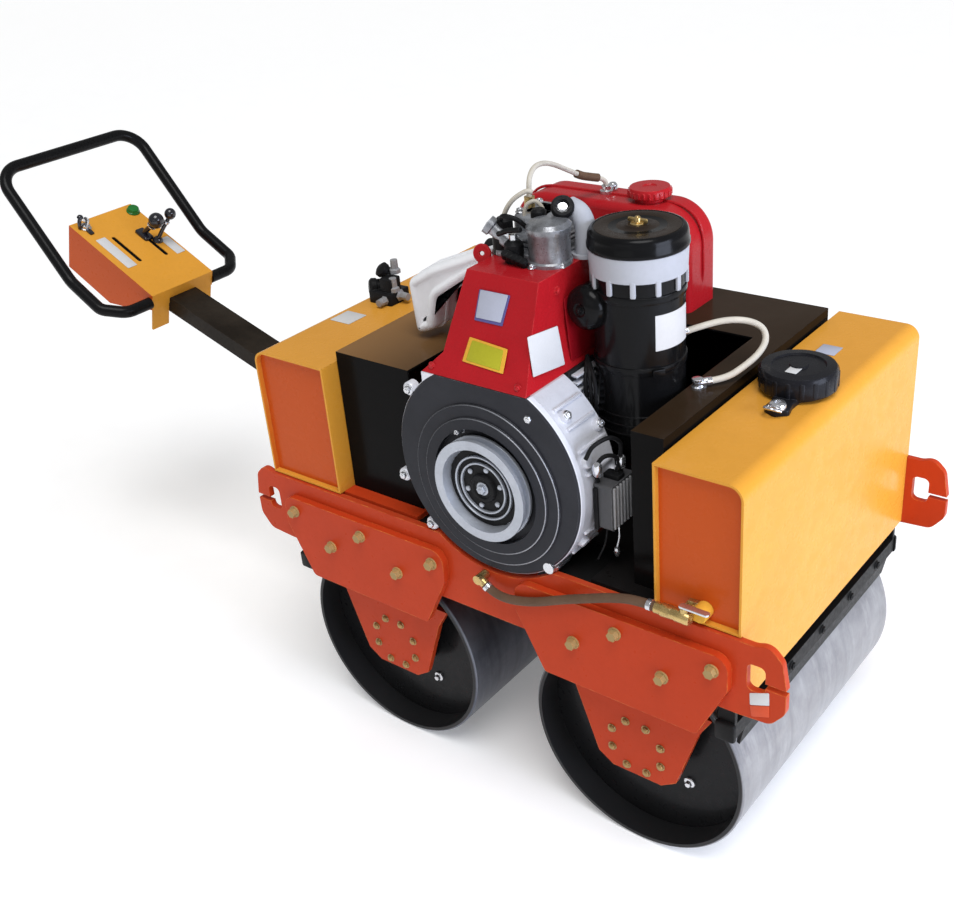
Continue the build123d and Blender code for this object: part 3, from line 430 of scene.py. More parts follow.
def plastics():
    """Pale and coloured plastics, hoses and plates."""
    coating("filter_white", (0.47, 0.485, 0.53), 0.93, 12, 0.38, 0.06)
    coating("box_grey", (0.1, 0.1, 0.105), 0.8, 20, 0.45, 0.1, 0.2, worn=(0.45, 0.45, 0.46),
            wear=0.8, bump=0.2)
    coating("box_pale", (0.36, 0.36, 0.37), 0.8, 20, 0.45, 0.1, 0.2, worn=grey(0.6), wear=0.8, bump=0.2)
    coating("hose_olive", (0.15, 0.088, 0.055), 0.75, 24, 0.55, 0.1, bump=0.15)
    coating("hose_cream", (0.66, 0.61, 0.52), 0.85, 26, 0.42, 0.1, bump=0.1)
    coating("button_green", (0.02, 0.19, 0.035), 0.8, 30, 0.28, 0.08, coat=0.3)
    coating("white_plate", grey(0.66), 0.95, 30, 0.4, 0.06, grain=300, bump=0.02)
    for name, base, dark, roughness in (
            ("pale_plate", (0.46, 0.48, 0.58), 0.92, 0.38), ("blue_plate", (0.12, 0.11, 0.3), 0.88, 0.38),
            ("yellow_plate", (0.46, 0.44, 0.03), 0.9, 0.38), ("orange_plate", (0.8, 0.42, 0.05), 0.92, 0.38),
            ("orange_tag", (0.7, 0.1, 0.04), 0.9, 0.42)):
        coating(name, base, dark, 30, roughness, 0.06)


paints()
metals()
blacks()
plastics()
materials["bearing_steel"] = materials["drum_black"]

# Nodes whose look isn't their slot's
OWN_LOOKS = {"deck": "deck_paint", "engine_block": "block_painted_shade", "drum_front": "drum_front_steel",
             "drum_rear": "drum_rear_painted_shade_steel"}

for subpart in frame["record"]["subparts"]:
    mesh = frame["nodes"][subpart["node"]].data
    mesh.materials.clear()
    mesh.materials.append(materials[OWN_LOOKS.get(subpart["node"], subpart["material_slot"])])


# Mesh helpers
def placing(centre, axis, up=UP):
    """A matrix at a place, with its Z along an axis and its Y as near up as can be."""
    out = Vector(axis).normalized()
    if abs(out.dot(Vector(up).normalized())) > 0.99:
        up = FORWARD
    across = Vector(up).cross(out).normalized()
    return Matrix.Translation(centre) @ Matrix((across, out.cross(across), out)).transposed().to_4x4()


def join(bm, low, high):
    """Faces between two rings of points. A ring of one point is a tip."""
    steps = max(len(low), len(high))
    for step in range(steps):
        after = (step + 1) % steps
        corners = [low[step % len(low)], low[after % len(low)], high[after % len(high)],
                   high[step % len(high)]]
        bm.faces.new(list(dict.fromkeys(corners)))


def lathe(bm, place, profile, steps=32):
    """A turned shape: rows of a radius and the one or two heights along the place's Z where it holds."""
    rings = []
    for radius, *heights in profile:
        turns = ring_of(steps, radius) if radius > 0 else [(0, 0)]
        rings += [[bm.verts.new(place @ Vector((*turn, height))) for turn in turns] for height in heights]
    for low, high in zip(rings, rings[1:]):
        join(bm, low, high)


def turned(bm, place, axis, profile, steps=20):
    """A turned shape at a place given from between the drums."""
    lathe(bm, placing(at(*place), axis), profile, steps)


def stud(bm, place, axis, profile, steps=20):
    """The same, closed by a flat end."""
    turned(bm, place, axis, [*profile, (0, profile[-1][-1])], steps)


def rounded(outline, radius, steps=5):
    """A flat outline with arcs at its corners."""
    points = [Vector(point) for point in outline]
    done = []
    for index, here in enumerate(points):
        before = points[index - 1] - here
        after = points[(index + 1) % len(points)] - here
        half = before.angle(after) / 2
        reach = min(radius / max(0.05, abs(sin(half) / cos(half))) if half < 1.55 else 0,
                    0.48 * before.length, 0.48 * after.length)
        start = here + before.normalized() * reach
        end = here + after.normalized() * reach
        for step in range(steps + 1):
            share = step / steps
            done.append((start * (1 - share) + here * share).lerp(here * (1 - share) + end * share, share))
    return done


def inset(outline, distance):
    """An outline moved inwards. It runs anticlockwise."""
    moved = []
    for index, here in enumerate(outline):
        forward = (outline[(index + 1) % len(outline)] - outline[index - 1]).normalized()
        moved.append(here + Vector((-forward.y, forward.x)) * distance)
    return moved


def anticlockwise(outline):
    area = sum(a.x * b.y - b.x * a.y for a, b in zip(outline, outline[1:] + outline[:1]))
    return outline[::-1] if area < 0 else outline


def pressed(bm, place, outline, rows):
    """A closed form on a flat outline: rows of distance in from the outline and height."""
    outline = anticlockwise(outline)
    rings = [[bm.verts.new(place @ Vector((*point, height))) for point in inset(outline, distance)]
             for distance, height in rows]
    for low, high in zip(rings, rings[1:]):
        join(bm, low, high)
    bm.faces.new(rings[-1])
    bm.faces.new(rings[0][::-1])


def pillow(bm, place, outline, depth, edge, steps=4, crown=0):
    """A moulded form on a flat outline, with a rounded upper edge and a crowned top."""
    rows = [(0, 0), (0, depth - edge)]
    rows += [(edge * (1 - cos(pi / 2 * step / steps)), depth - edge + edge * sin(pi / 2 * step / steps))
             for step in range(1, steps + 1)]
    if crown:
        rows += [(edge * 2.2, depth + crown * 0.7), (edge * 3.4, depth + crown)]
    pressed(bm, place, outline, rows)


def rectangle(width, height):
    x, y = width / 2, height / 2
    return [(-x, -y), (x, -y), (x, y), (-x, y)]


def brick(bm, place, width, height, depth, corner=0.002, edge=0.0012, steps=3):
    """A block with rounded corners, standing on a place."""
    pillow(bm, place, rounded(rectangle(width, height), corner, steps), depth, edge, 2)


def block(bm, place, axis, *sizes):
    """The same, at a place given from between the drums."""
    brick(bm, placing(at(*place), axis), *sizes)


def smooth(points, steps=8):
    """Points along a smooth line through the given ones."""
    ends = [2 * points[0] - points[1], *points, 2 * points[-1] - points[-2]]
    line = []
    for a, b, c, d in zip(ends, ends[1:], ends[2:], ends[3:]):
        for step in range(steps):
            t = step / steps
            line.append(0.5 * (2 * b + (c - a) * t + (2 * a - 5 * b + 4 * c - d) * t * t
                               + (3 * b - a - 3 * c + d) * t ** 3))
    return [*line, points[-1]]


def tube(bm, line, radius, sides=12):
    """A round bar along points, closed at its ends."""
    side = None
    rings = []
    for index, here in enumerate(line):
        way = (line[min(index + 1, len(line) - 1)] - line[max(index - 1, 0)]).normalized()
        if side is None:
            side = way.cross(UP if abs(way.z) < 0.9 else FORWARD).normalized()
        side = (side - way * side.dot(way)).normalized()
        other = way.cross(side)
        rings.append([bm.verts.new(here + side * along + other * rise)
                      for along, rise in ring_of(sides, radius)])
    for low, high in zip(rings, rings[1:]):
        join(bm, low, high)
    bm.faces.new(rings[0][::-1])
    bm.faces.new(rings[-1])


def cable(bm, radius, sides, *points, steps=8):
    """A round bar along a smooth line through places given from between the drums."""
    tube(bm, smooth([at(*point) for point in points], steps), radius, sides)


def bolt(bm, centre, axis, size, height, washer):
    """A hexagon head on a washer, with a low dome at its middle."""
    place = placing(centre, axis)
    top = washer + height
    lathe(bm, place, [(0, 0), (size * 1.35, 0, washer * 0.8), (size * 1.25, washer), (0, washer)], 20)
    lathe(bm, place, [(size, washer, washer + height * 0.75), (size * 0.86, top), (0, top)], 6)
    lathe(bm, place, [
        (size * 0.5, top), (size * 0.35, washer + height * 1.25), (0, washer + height * 1.35)], 12)


def ring_of(count, radius, start=0):
    """Offsets of so many places on a circle."""
    return [(radius * cos(2 * pi * step / count + start), radius * sin(2 * pi * step / count + start))
            for step in range(count)]


def teeth(bm, place, radius, count, sizes, start=0):
    """Blocks that stand out round an upright axis."""
    for across, along in ring_of(count, 1, start):
        way = Vector((across, along, 0))
        brick(bm, placing(at(*place) + way * radius, way), *sizes)


def piece(material, body="root", replaced=(), smooth_angle=38, name=None):
    """Makes a piece, riding on a body, out of the drawing function that follows, and under its name."""
    def build(draw):
        piece_name = name or draw.__name__
        mesh = bpy.data.meshes.new(piece_name)
        bm = bmesh.new()
        draw(bm)
        bmesh.ops.recalc_face_normals(bm, faces=bm.faces)
        bm.to_mesh(mesh)
        bm.free()
        mesh.polygons.foreach_set("use_smooth", [True] * len(mesh.polygons))
        mesh.set_sharp_from_angle(angle=radians(smooth_angle))
        mesh.materials.append(materials[material])
        made = added(piece_name, mesh)
        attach(made, body)
        if replaced:
            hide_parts(*replaced)
        return draw
    return build


def sign(name, material, corners, lift, thickness=0.0006, corner=0.002, shrink=0,
         body="root"):
    """A thin plate whose corners lie on a surface."""
    @piece(material, body, name=name)
    def draw(bm):
        middle = sum(corners, Vector()) / len(corners)
        across = (corners[1] - corners[0]).normalized()
        out = across.cross(corners[2] - corners[1]).normalized()
        turn = Matrix((across, out.cross(across), out)).transposed().to_4x4()
        place = Matrix.Translation(middle + out * lift) @ turn
        flat = [(place.inverted() @ point).to_2d() for point in corners]
        flat = [point * (1 - shrink / point.length) for point in flat]
        pillow(bm, place, rounded(flat, corner, 3), thickness, thickness * 0.4, 2)


def lying(low_x, high_x, low_y, high_y, z):
    """The corners of a level rectangle."""
    return [at(x, y, z) for x, y in ((low_x, low_y), (high_x, low_y), (high_x, high_y), (low_x, high_y))]


# Hoses
def hose(name, node, points, diameter, material):
    """A hose on one smooth line through its route's points."""
    data = bpy.data.curves.new(name, "CURVE")
    data.dimensions = "3D"
    data.bevel_depth = diameter / 2
    data.bevel_resolution = 5
    data.resolution_u = 10
    data.use_fill_caps = True
    line = data.splines.new("NURBS")
    line.points.add(len(points) - 1)
    for point, place in zip(line.points, points):
        point.co = (*at(*place), 1)
    line.order_u = 3
    line.use_endpoint_u = True
    data.materials.append(materials[material])
    made = added(name, data)
    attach(made, "root")
    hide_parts(node)


hose("tank_hose", "water_hose", [
    (0.366, -0.352, 0.582), (0.33, -0.352, 0.582), (0.29, -0.355, 0.573), (0.24, -0.359, 0.555),
    (0.19, -0.359, 0.534), (0.14, -0.359, 0.51), (0.095, -0.359, 0.495), (0.058, -0.357, 0.4885),
    (0.03, -0.353, 0.4915), (0.0192, -0.353, 0.4996)], 0.016, "hose_olive")
hose("filter_hose", "breather_hose", [
    (0.255, -0.069, 0.918), (0.278, -0.044, 0.925), (0.304, -0.016, 0.929), (0.33, 0.008, 0.924),
    (0.352, 0.019, 0.912), (0.362, 0.013, 0.893), (0.361, -0.012, 0.878), (0.351, -0.044, 0.866),
    (0.336, -0.075, 0.855), (0.3194, -0.0946, 0.855)], 0.011, "hose_cream")
hose("return_pipe", "fuel_pipe", [
    (-0.007, -0.12, 1.1286), (-0.007, -0.12, 1.152), (-0.012, -0.104, 1.166), (-0.024, -0.072, 1.167),
    (-0.044, -0.018, 1.154), (-0.066, 0.042, 1.131), (-0.084, 0.098, 1.106), (-0.088, 0.14, 1.085),
    (-0.08, 0.168, 1.073), (-0.07, 0.19, 1.066), (-0.067, 0.2, 1.056), (-0.067, 0.2, 1.045)],
    0.009, "hose_cream")


# Drums and their carriers
for end_name, end, plug_x, plug_z in (("front", 1, 0.082, -0.077), ("rear", -1, 0.066, -0.092)):
    @piece("switch_chrome", body=end_name + "_drum", name="drum_plugs_" + end_name)
    def drum_plugs(bm):
        for side in (-1, 1):
            place = (end * AXLE_X + plug_x, side * DISC_FACE, AXLE_Z + plug_z)
            stud(bm, place, (0, side, 0), [(0.011, 0, 0.003), (0.009, 0.0045)], 24)
            stud(bm, place, (0, side, 0), [(0.0065, 0.0045, 0.009), (0.005, 0.0105)], 6)

    for side_name, side in (("right", -1), ("left", 1)):
        @piece("plated", name=f"hub_bolts_{end_name}_{side_name}")
        def hub_bolts(bm):
            for along, rise in ring_of(8, 0.054, pi / 8):
                place = (end * AXLE_X + along, side * HUB_FACE, AXLE_Z + rise)
                turned(bm, place, (0, side, 0), [
                    (0.0085, 0, 0.0012), (0.0065, 0.0012, 0.0045), (0.004, 0.0065), (0, 0.007)])


# Starter side of the engine
@piece("pulley_steel", body="pulley")
def pulley_inside(bm):
    for radius in (0.06, 0.048):
        turned(bm, (CRANK[0], -PULLEY_FLOOR, CRANK[1]), RIGHT, [
            (radius, 0, 0.0055), (radius - 0.0008, 0.0065), (radius - 0.0028, 0.0065),
            (radius - 0.0036, 0.0055, 0)], 64)
    for along, rise in ring_of(6, 0.0365, 0.3):
        stud(bm, (CRANK[0] + along, -PULLEY_FLOOR, CRANK[1] + rise), RIGHT,
             [(0.0048, 0, 0.004), (0.003, 0.0055)], 14)
    bolt(bm, at(CRANK[0], -PULLEY_FLOOR - 0.006, CRANK[1]), RIGHT, 0.009, 0.006, 0.0015)


WEB_PLACE = (CRANK[0], -PULLEY_FLOOR - 0.0002, CRANK[1])


@piece("engine_dark", body="pulley")
def pulley_web(bm):
    """The dark web inside the pulley."""
    stud(bm, WEB_PLACE, RIGHT, [
        (0, 0), (0.0722, 0, 0.0012), (0.027, 0.0012), (0.026, 0.006), (0.024, 0.008), (0.019, 0.008),
        (0.017, 0.006)], 64)


# Painted shade: near-black sheets for the shade seen through the pulley's openings.
@piece("painted_shade_gap", "pulley")
def pulley_openings(bm):
    for turn in (0.9, 0.9 + 2 * pi / 3, 0.9 + 4 * pi / 3):
        place = placing(at(*WEB_PLACE), RIGHT) @ Matrix.Rotation(turn, 4, "Z")
        brick(bm, place @ Matrix.Translation((0.068, 0, 0)), 0.008, 0.036, 0.0009, 0.004, 0.0003, 4)


COVER_LUGS = ((-0.128, 0.838), (-0.11, 0.574), (0.128, 0.846), (-0.163, 0.66))


@piece("fan_grey")
def fan_cover_lugs(bm):
    for x, z in COVER_LUGS:
        stud(bm, (x, 0.026 - FAN_FACE, z), RIGHT, [(0.0125, 0, 0.014), (0.011, 0.016)], 24)


@piece("switch_chrome")
def fan_cover_bolts(bm):
    for x, z in COVER_LUGS:
        bolt(bm, at(x, 0.01 - FAN_FACE, z), RIGHT, 0.0072, 0.005, 0.0012)
    bolt(bm, at(-0.02, 0.0145 - FAN_FACE, 0.787), RIGHT, 0.0055, 0.014, 0.001)


@piece("fan_edge_painted_highlight")
def fan_cover_edges(bm):
    """Beads on the rims of the cover's two steps, whose bright colour is a painted highlight."""
    for radius, face in ((0.15, RIM_FACE + 0.004), (0.127, FAN_FACE)):
        ring = [at(CRANK[0] + along, 0.0004 - face, CRANK[1] + rise)
                for along, rise in ring_of(96, radius - 0.0006)]
        tube(bm, ring + [ring[0]], 0.0011, 8)


@piece("switch_chrome")
def fan_housing_stud(bm):
    """The bright stud under the fan housing."""
    stud(bm, (0.15, -0.29, 0.5705), RIGHT, [(0, 0), (0.0125, 0, 0.04), (0.0105, 0.043, 0.05)], 24)


def on_housing(degrees, y, radius):
    """A place on the fan housing's rim, and the way that it faces."""
    way = Vector((cos(radians(degrees)), 0, sin(radians(degrees))))
    return at(FAN_MIDDLE[0], y, FAN_MIDDLE[1]) + way * radius, way


HOUSING_BOLTS = ((30, -0.245), (42, -0.3), (5, -0.245))


@piece("engine_cast")
def housing_ribs(bm):
    """Ribs and bosses on the housing's rim."""
    for turn in (-38, -22, 12, 24, 36, 47):
        place = placing(*on_housing(turn, -0.275, FAN_RADIUS - 0.001), LEFT)
        brick(bm, place, 0.006, 0.074, 0.006, 0.002, 0.002)
    for turn, y in (*HOUSING_BOLTS, (18, -0.305), (-30, -0.3)):
        place = placing(*on_housing(turn, y, FAN_RADIUS - 0.002))
        lathe(bm, place, [(0.011, 0), (0.01, 0.008), (0.0085, 0.01), (0, 0.01)], 20)


@piece("switch_chrome")
def housing_bolts(bm):
    for turn, y in HOUSING_BOLTS:
        bolt(bm, *on_housing(turn, y, FAN_RADIUS + 0.008), 0.006, 0.004, 0.001)


@piece("engine_cast")
def crankcase_front(bm):
    """Fins, a pipe and a pump on the engine's front, behind the fan housing."""
    for level in range(7):
        block(bm, (0.128, -0.15, 0.792 + level * 0.013), FORWARD, 0.13, 0.0045, 0.012, 0.001, 0.001)
    stud(bm, (0.128, -0.165, 0.735), FORWARD, [(0.03, 0, 0.012), (0.022, 0.014, 0.03), (0.018, 0.034)], 28)
    stud(bm, (0.128, -0.1, 0.7), FORWARD, [(0.024, 0, 0.02), (0.014, 0.022, 0.036)], 24)
    cable(bm, 0.0045, 10, (0.15, -0.165, 0.76), (0.162, -0.172, 0.79), (0.15, -0.18, 0.83),
          (0.136, -0.185, 0.868))


@piece("engine_dark")
def crankcase_fittings(bm):
    for x, y, z, radius in ((0.128, -0.2, 0.77, 0.01), (0.128, -0.135, 0.69, 0.012),
                            (0.123, -0.205, 0.72, 0.008)):
        stud(bm, (x, y, z), FORWARD, [(radius, 0, 0.03), (radius * 0.7, 0.034)], 18)
    for x in (0.14, 0.149, 0.158):
        cable(bm, 0.0035, 8, (x, -0.19, 0.77), (x + 0.01, -0.205, 0.82), (x + 0.004, -0.198, 0.862),
              (0.13, -0.17, 0.89))


# Control box
@piece("box_pale")
def control_box_cover(bm):
    """Upright fins on the box's front."""
    for step in range(-3, 4):
        block(bm, (0.2553, step * 0.0095 - 0.265, 0.696), FORWARD, 0.0045, 0.076, 0.0035, 0.001, 0.001)


@piece("switch_chrome")
def control_box_leads(bm):
    """A pale lead below the box, and the bright plugs above it."""
    cable(bm, 0.0022, 8, (0.242, -0.262, 0.656), (0.243, -0.262, 0.625), (0.24, -0.266, 0.6))
    stud(bm, (0.24, -0.266, 0.602), DOWN, [(0.0042, 0), (0.0052, 0.004, 0.012), (0.003, 0.016)], 14)
    for place in ((0.244, -0.252, 0.752), (0.23, -0.3, 0.756)):
        stud(bm, place, (0.2, -0.3, 1), [(0.007, 0), (0.008, 0.006, 0.02), (0.005, 0.024)], 16)


@piece("engine_dark")
def control_box_fittings(bm):
    """The loops of cable above the box, the strap down its side and the lead below."""
    cable(bm, 0.0036, 10, (0.224, -0.322, 0.792), (0.232, -0.312, 0.812), (0.244, -0.284, 0.818),
          (0.25, -0.262, 0.8), (0.246, -0.258, 0.77), (0.24, -0.262, 0.738))
    cable(bm, 0.0036, 10, (0.226, -0.292, 0.738), (0.226, -0.302, 0.762), (0.236, -0.29, 0.784),
          (0.246, -0.268, 0.776), (0.244, -0.252, 0.74))
    cable(bm, 0.0018, 8, (0.236, -0.284, 0.656), (0.232, -0.288, 0.62), (0.222, -0.296, 0.59))
    block(bm, (0.2265, -0.3003, 0.692), RIGHT, 0.008, 0.078, 0.004, 0.002, 0.001)
    block(bm, (0.238, -0.265, 0.737), UP, 0.02, 0.03, 0.008, 0.003, 0.002)


# Shroud, its plates and bolts. Rows of height above the foot, and distance out to the face.
SHROUD_SIDE = ((0, 0.335), (0.034, 0.314), (0.075, 0.297), (0.168, 0.268))
SHROUD_FRONT = ((0, 0.124), (0.034, 0.117), (0.075, 0.112), (0.168, 0.113))


def along_rows(rows, height):
    """A value between the rows of a table."""
    for low, high in zip(rows, rows[1:]):
        if height <= high[0]:
            break
    return low[1] + (high[1] - low[1]) * (height - low[0]) / (high[0] - low[0])


def on_shroud_side(x, z):
    """A place on the shroud's right face."""
    return at(x, -along_rows(SHROUD_SIDE, z - SHROUD_FOOT), z)


def on_shroud_front(y, z):
    """A place on the shroud's front face."""
    return at(along_rows(SHROUD_FRONT, z - SHROUD_FOOT), y, z)


def corners_on(face, *places):
    return [face(*place) for place in places]


upper_plate = corners_on(on_shroud_side, (-0.003, 0.973), (0.054, 0.973), (0.063, 1.0217), (0.001, 1.0217))
lower_plate = corners_on(on_shroud_side, (-0.014, 0.908), (0.071, 0.9045), (0.071, 0.941), (-0.008, 0.946))
front_plate = corners_on(on_shroud_front, (-0.308, 0.905), (-0.225, 0.894), (-0.227, 0.961), (-0.305, 0.971))
panel = corners_on(on_shroud_front, (-0.206, 0.892), (-0.084, 0.892), (-0.084, 1), (-0.206, 1))
raised_plate = [corner + Vector((0, 0, 0.0025)) for corner in upper_plate]
sign("shroud_plate_edge", "blue_plate", upper_plate, 0.0008, 0.001)
sign("shroud_plate", "pale_plate", raised_plate, 0.0017, 0.0005, shrink=0.004)
sign("shroud_plate_border", "orange_plate", lower_plate, 0.001, 0.001)
sign("shroud_plate_yellow", "yellow_plate", lower_plate, 0.0019, 0.0005, shrink=0.008)
sign("shroud_plate_front", "white_plate", front_plate, 0.0014, 0.001)
sign("shroud_panel", "red_shade", panel, 0.0008, 0.0016, 0.006)


@piece("engine_red")
def shroud_bolts(bm):
    for x in (-0.074, 0.104):
        bolt(bm, on_shroud_side(x, 0.891) + Vector((0, 0.0012, 0)), RIGHT, 0.0055, 0.004, 0.001)
    for y, z in ((-0.1, 0.89), (-0.222, 1.02)):
        bolt(bm, on_shroud_front(y, z), FORWARD, 0.0055, 0.004, 0.001)


# Muffler
MUFFLER = ((-0.041, 1.059), (-0.205, 0.992), (-0.262, 0.958), (-0.252, 0.846), (-0.206, 0.866),
           (-0.19, 0.93), (-0.1, 0.99), (-0.057, 1.011))
MUFFLER_MIDDLE = -0.135


def muffler_outline(distance):
    """The muffler's outline as seen from the right, moved inwards."""
    return inset(anticlockwise(rounded([(x + MIDDLE, z) for x, z in MUFFLER], 0.022, 6)), distance)


@piece("muffler_silver", replaced=("muffler",), smooth_angle=50)
def muffler_shells(bm):
    rows = [(0, 0), (0, 0.024), (0.0012, 0.03), (0.004, 0.0345), (0.008, 0.0368), (0.0125, 0.0372),
            (0.0155, 0.035), (0.0175, 0.0322), (0.0195, 0.0315)]
    for side in (-1, 1):
        outline = [Vector((-side * point.x, point.y)) for point in muffler_outline(0.003)]
        pressed(bm, placing((0, MUFFLER_MIDDLE, 0), (0, side, 0)), outline, rows)


@piece("muffler_silver")
def muffler_seam(bm):
    pillow(bm, placing((0, MUFFLER_MIDDLE + 0.003, 0), RIGHT), muffler_outline(0), 0.006, 0.001, 2)


@piece("engine_dark")
def muffler_flange(bm):
    """The dark stub and flange between the muffler and the head."""
    stud(bm, (-0.086, MUFFLER_MIDDLE, 1.028), (1, 0, 0.15),
         [(0, 0), (0.021, 0, 0.04), (0.03, 0.04, 0.05)], 28)


# Cylinder head
RING_CAP = (0.078, -0.146, 1.126)
RING_CAP_WAY = (0.45, -0.6, 0.55)


@piece("head_cast", replaced=("cylinder_head",))
def head_casting(bm):
    block(bm, (0.03, -0.135, SHROUD_TOP + LIFT), UP, 0.128, 0.116, 0.01, 0.01, 0.003)
    for level in range(3):
        z = SHROUD_TOP + 0.01 + level * 0.008
        block(bm, (0.024, -0.13, z), UP, 0.1, 0.092, 0.004, 0.008, 0.001)
        block(bm, (0.024, -0.13, z + 0.0035), UP, 0.088, 0.08, 0.005, 0.006, 0.001)
    cover = placing(at(0.02, -0.118, SHROUD_TOP + 0.034), UP)
    pillow(bm, cover, rounded(rectangle(0.084, 0.078), 0.018, 6), 0.028, 0.01, 4, 0.0015)
    stud(bm, (0.076, -0.184, SHROUD_TOP), UP, [
        (0.037, 0, 0.006), (0.0345, 0.009, 0.05), (0.0365, 0.053, 0.062), (0.031, 0.069), (0.012, 0.072)], 40)
    turned(bm, (0.002, -0.178, SHROUD_TOP + 0.016), (-0.75, -0.3, 0.65), [
        (0, 0), (0.015, 0, 0.022), (0.012, 0.026, 0.046), (0.016, 0.048, 0.058), (0, 0.06)], 24)


@piece("filter_white", replaced=("intake_elbow",))
def head_elbow(bm):
    """The pale cast elbow in front of the head."""
    cable(bm, 0.0175, 24, (0.109, -0.132, SHROUD_TOP + 0.001), (0.11, -0.131, 1.078), (0.108, -0.13, 1.1),
          (0.098, -0.129, 1.117), (0.078, -0.127, 1.124), steps=6)
    stud(bm, (0.109, -0.132, SHROUD_TOP + 0.0002), UP, [(0, 0), (0.023, 0, 0.006)], 28)


@piece("engine_dark")
def head_pump(bm):
    """The black ring cap, the injection pump and the dark fittings below the pipe."""
    turned(bm, RING_CAP, RING_CAP_WAY, [
        (0.008, 0), (0.017, 0), (0.019, 0.004, 0.012), (0.016, 0.016), (0.011, 0.016), (0.009, 0.012),
        (0.008, 0)], 28)
    stud(bm, (0.04, -0.16, 1.112), UP, [(0.013, 0, 0.01), (0.009, 0.014)])
    stud(bm, (-0.02, -0.176, SHROUD_TOP), UP, [(0.021, 0, 0.03), (0.015, 0.034, 0.056), (0.011, 0.06)], 24)
    stud(bm, (0.02, -0.205, SHROUD_TOP), UP, [(0.016, 0, 0.03), (0.01, 0.036)])
    stud(bm, (-0.026, -0.112, SHROUD_TOP), UP, [(0.018, 0, 0.03), (0.012, 0.034)])
    tube(bm, [at(-0.01, -0.205, 1.09), at(0.016, -0.214, 1.102), at(0.044, -0.216, 1.108)], 0.0045, 10)
    cable(bm, 0.004, 10, (-0.016, -0.19, 1.11), (0, -0.2, 1.12), (0.022, -0.196, 1.116), (0.034, -0.184, 1.1))
    for step in range(5):
        place = (0.052 - step * 0.009, -0.222, SHROUD_TOP + 0.004 + step * 0.002)
        stud(bm, place, (0.2, -0.5, 1), [(0.0072, 0, 0.01), (0.005, 0.012)], 12)


@piece("hose_cream")
def head_pipes(bm):
    """The injector's pale pipes, which rise in an arc."""
    cable(bm, 0.0042, 12, (-0.05, -0.148, 1.03), (-0.046, -0.149, 1.072), (-0.038, -0.15, 1.104),
          (-0.022, -0.146, 1.128), (-0.002, -0.136, 1.142), (0.008, -0.13, 1.14))
    cable(bm, 0.0034, 10, (0.012, -0.152, 1.075), (0.006, -0.154, 1.1), (0.01, -0.152, 1.124),
          (0.024, -0.146, 1.132), (0.036, -0.142, 1.118), (0.034, -0.144, 1.09))


@piece("switch_chrome")
def head_nuts(bm):
    for x, y in ((-0.008, -0.092), (-0.008, -0.146), (0.052, -0.092)):
        bolt(bm, at(x, y, 1.11), UP, 0.0062, 0.005, 0.0012)
    for place in ((-0.05, -0.148, 1.026), (0.02, -0.205, 1.084), (0.012, -0.152, 1.07)):
        stud(bm, place, UP, [(0.0072, 0, 0.01), (0.0058, 0.0115)], 6)
    turned(bm, RING_CAP, RING_CAP_WAY, [(0, 0.002), (0.0095, 0.002), (0.008, 0.01), (0, 0.011)])
    for x, y in ((0.108, -0.196), (0.066, -0.222)):
        bolt(bm, at(x, y, SHROUD_TOP + 0.001), UP, 0.005, 0.005, 0.001)


@piece("engine_red")
def head_tab(bm):
    """The red lifting tab behind the head, with its ring."""
    way = (0.3, -1, 0.2)
    turned(bm, (-0.046, -0.205, 1.052), way, [
        (0.005, 0), (0.015, 0), (0.0165, 0.003), (0.015, 0.006), (0.005, 0.006), (0.0035, 0.003),
        (0.005, 0)], 28)
    block(bm, (-0.04, -0.206, 1.032), way, 0.026, 0.024, 0.006, 0.004, 0.001)


@piece("hose_olive")
def pipe_sleeve(bm):
    cable(bm, 0.0078, 14, (-0.088, 0.134, 1.088), (-0.0855, 0.15, 1.08), (-0.079, 0.168, 1.0735),
          (-0.0725, 0.182, 1.069), steps=4)


@piece("switch_chrome")
def pipe_nuts(bm):
    stud(bm, (PIPE_X, FUEL_Y, FUEL_TOP + LIFT), UP,
         [(0.0125, 0, 0.006), (0.0098, 0.008, 0.015), (0.006, 0.017)], 24)
    stud(bm, (PIPE_X, FUEL_Y + 0.022, FUEL_TOP + LIFT), UP, [(0.009, 0, 0.01), (0.006, 0.014)])


# Air filter
@piece("filter_black")
def filter_bands(bm):
    for height in (0.883, 1.003):
        turned(bm, (*FILTER, height), UP, [
            (0.0738, 0), (0.0762, 0.001), (0.0768, 0.004, 0.01), (0.0762, 0.013), (0.0738, 0.014)], 64)
    block(bm, (0.267, -0.172, 0.89), (0.8, -0.6, 0), 0.02, 0.012, 0.006, 0.002, 0.001)


@piece("filter_black")
def filter_foot(bm):
    """Ribs round the filter's foot, its outlet, and the round inlet with its plug."""
    for height, radius in ((0.774, 0.0755), (0.79, 0.0752), (0.806, 0.0752)):
        turned(bm, (*FILTER, height), UP, [(0.0735, 0), (radius, 0.001, 0.004), (0.0735, 0.005)], 64)
    stud(bm, (*FILTER, 0.7), UP, [(0, 0), (0.04, 0), (0.046, 0.006), (0.052, 0.044)], 40)
    inlet = (0.152, -0.15, 0.984)
    way = Vector((-0.1, -1, 0.05))
    stud(bm, inlet, way, [
        (0, 0), (0.032, 0), (0.0365, 0.01), (0.0375, 0.04), (0.035, 0.05), (0.027, 0.0575), (0.012, 0.06),
        (0.01, 0.0585)], 40)
    bolt(bm, at(*inlet) + way.normalized() * 0.058, way, 0.006, 0.005, 0.001)


@piece("filter_black", replaced=("filter_cap",))
def filter_lid(bm):
    """The cap's pressed steps."""
    stud(bm, (*FILTER, 1.0803), UP, [
        (0, 0), (0.08, 0), (0.0818, 0.002, 0.008), (0.0805, 0.01), (0.08, 0.02), (0.0785, 0.026),
        (0.075, 0.0305), (0.0715, 0.0315), (0.07, 0.0305)], 72)


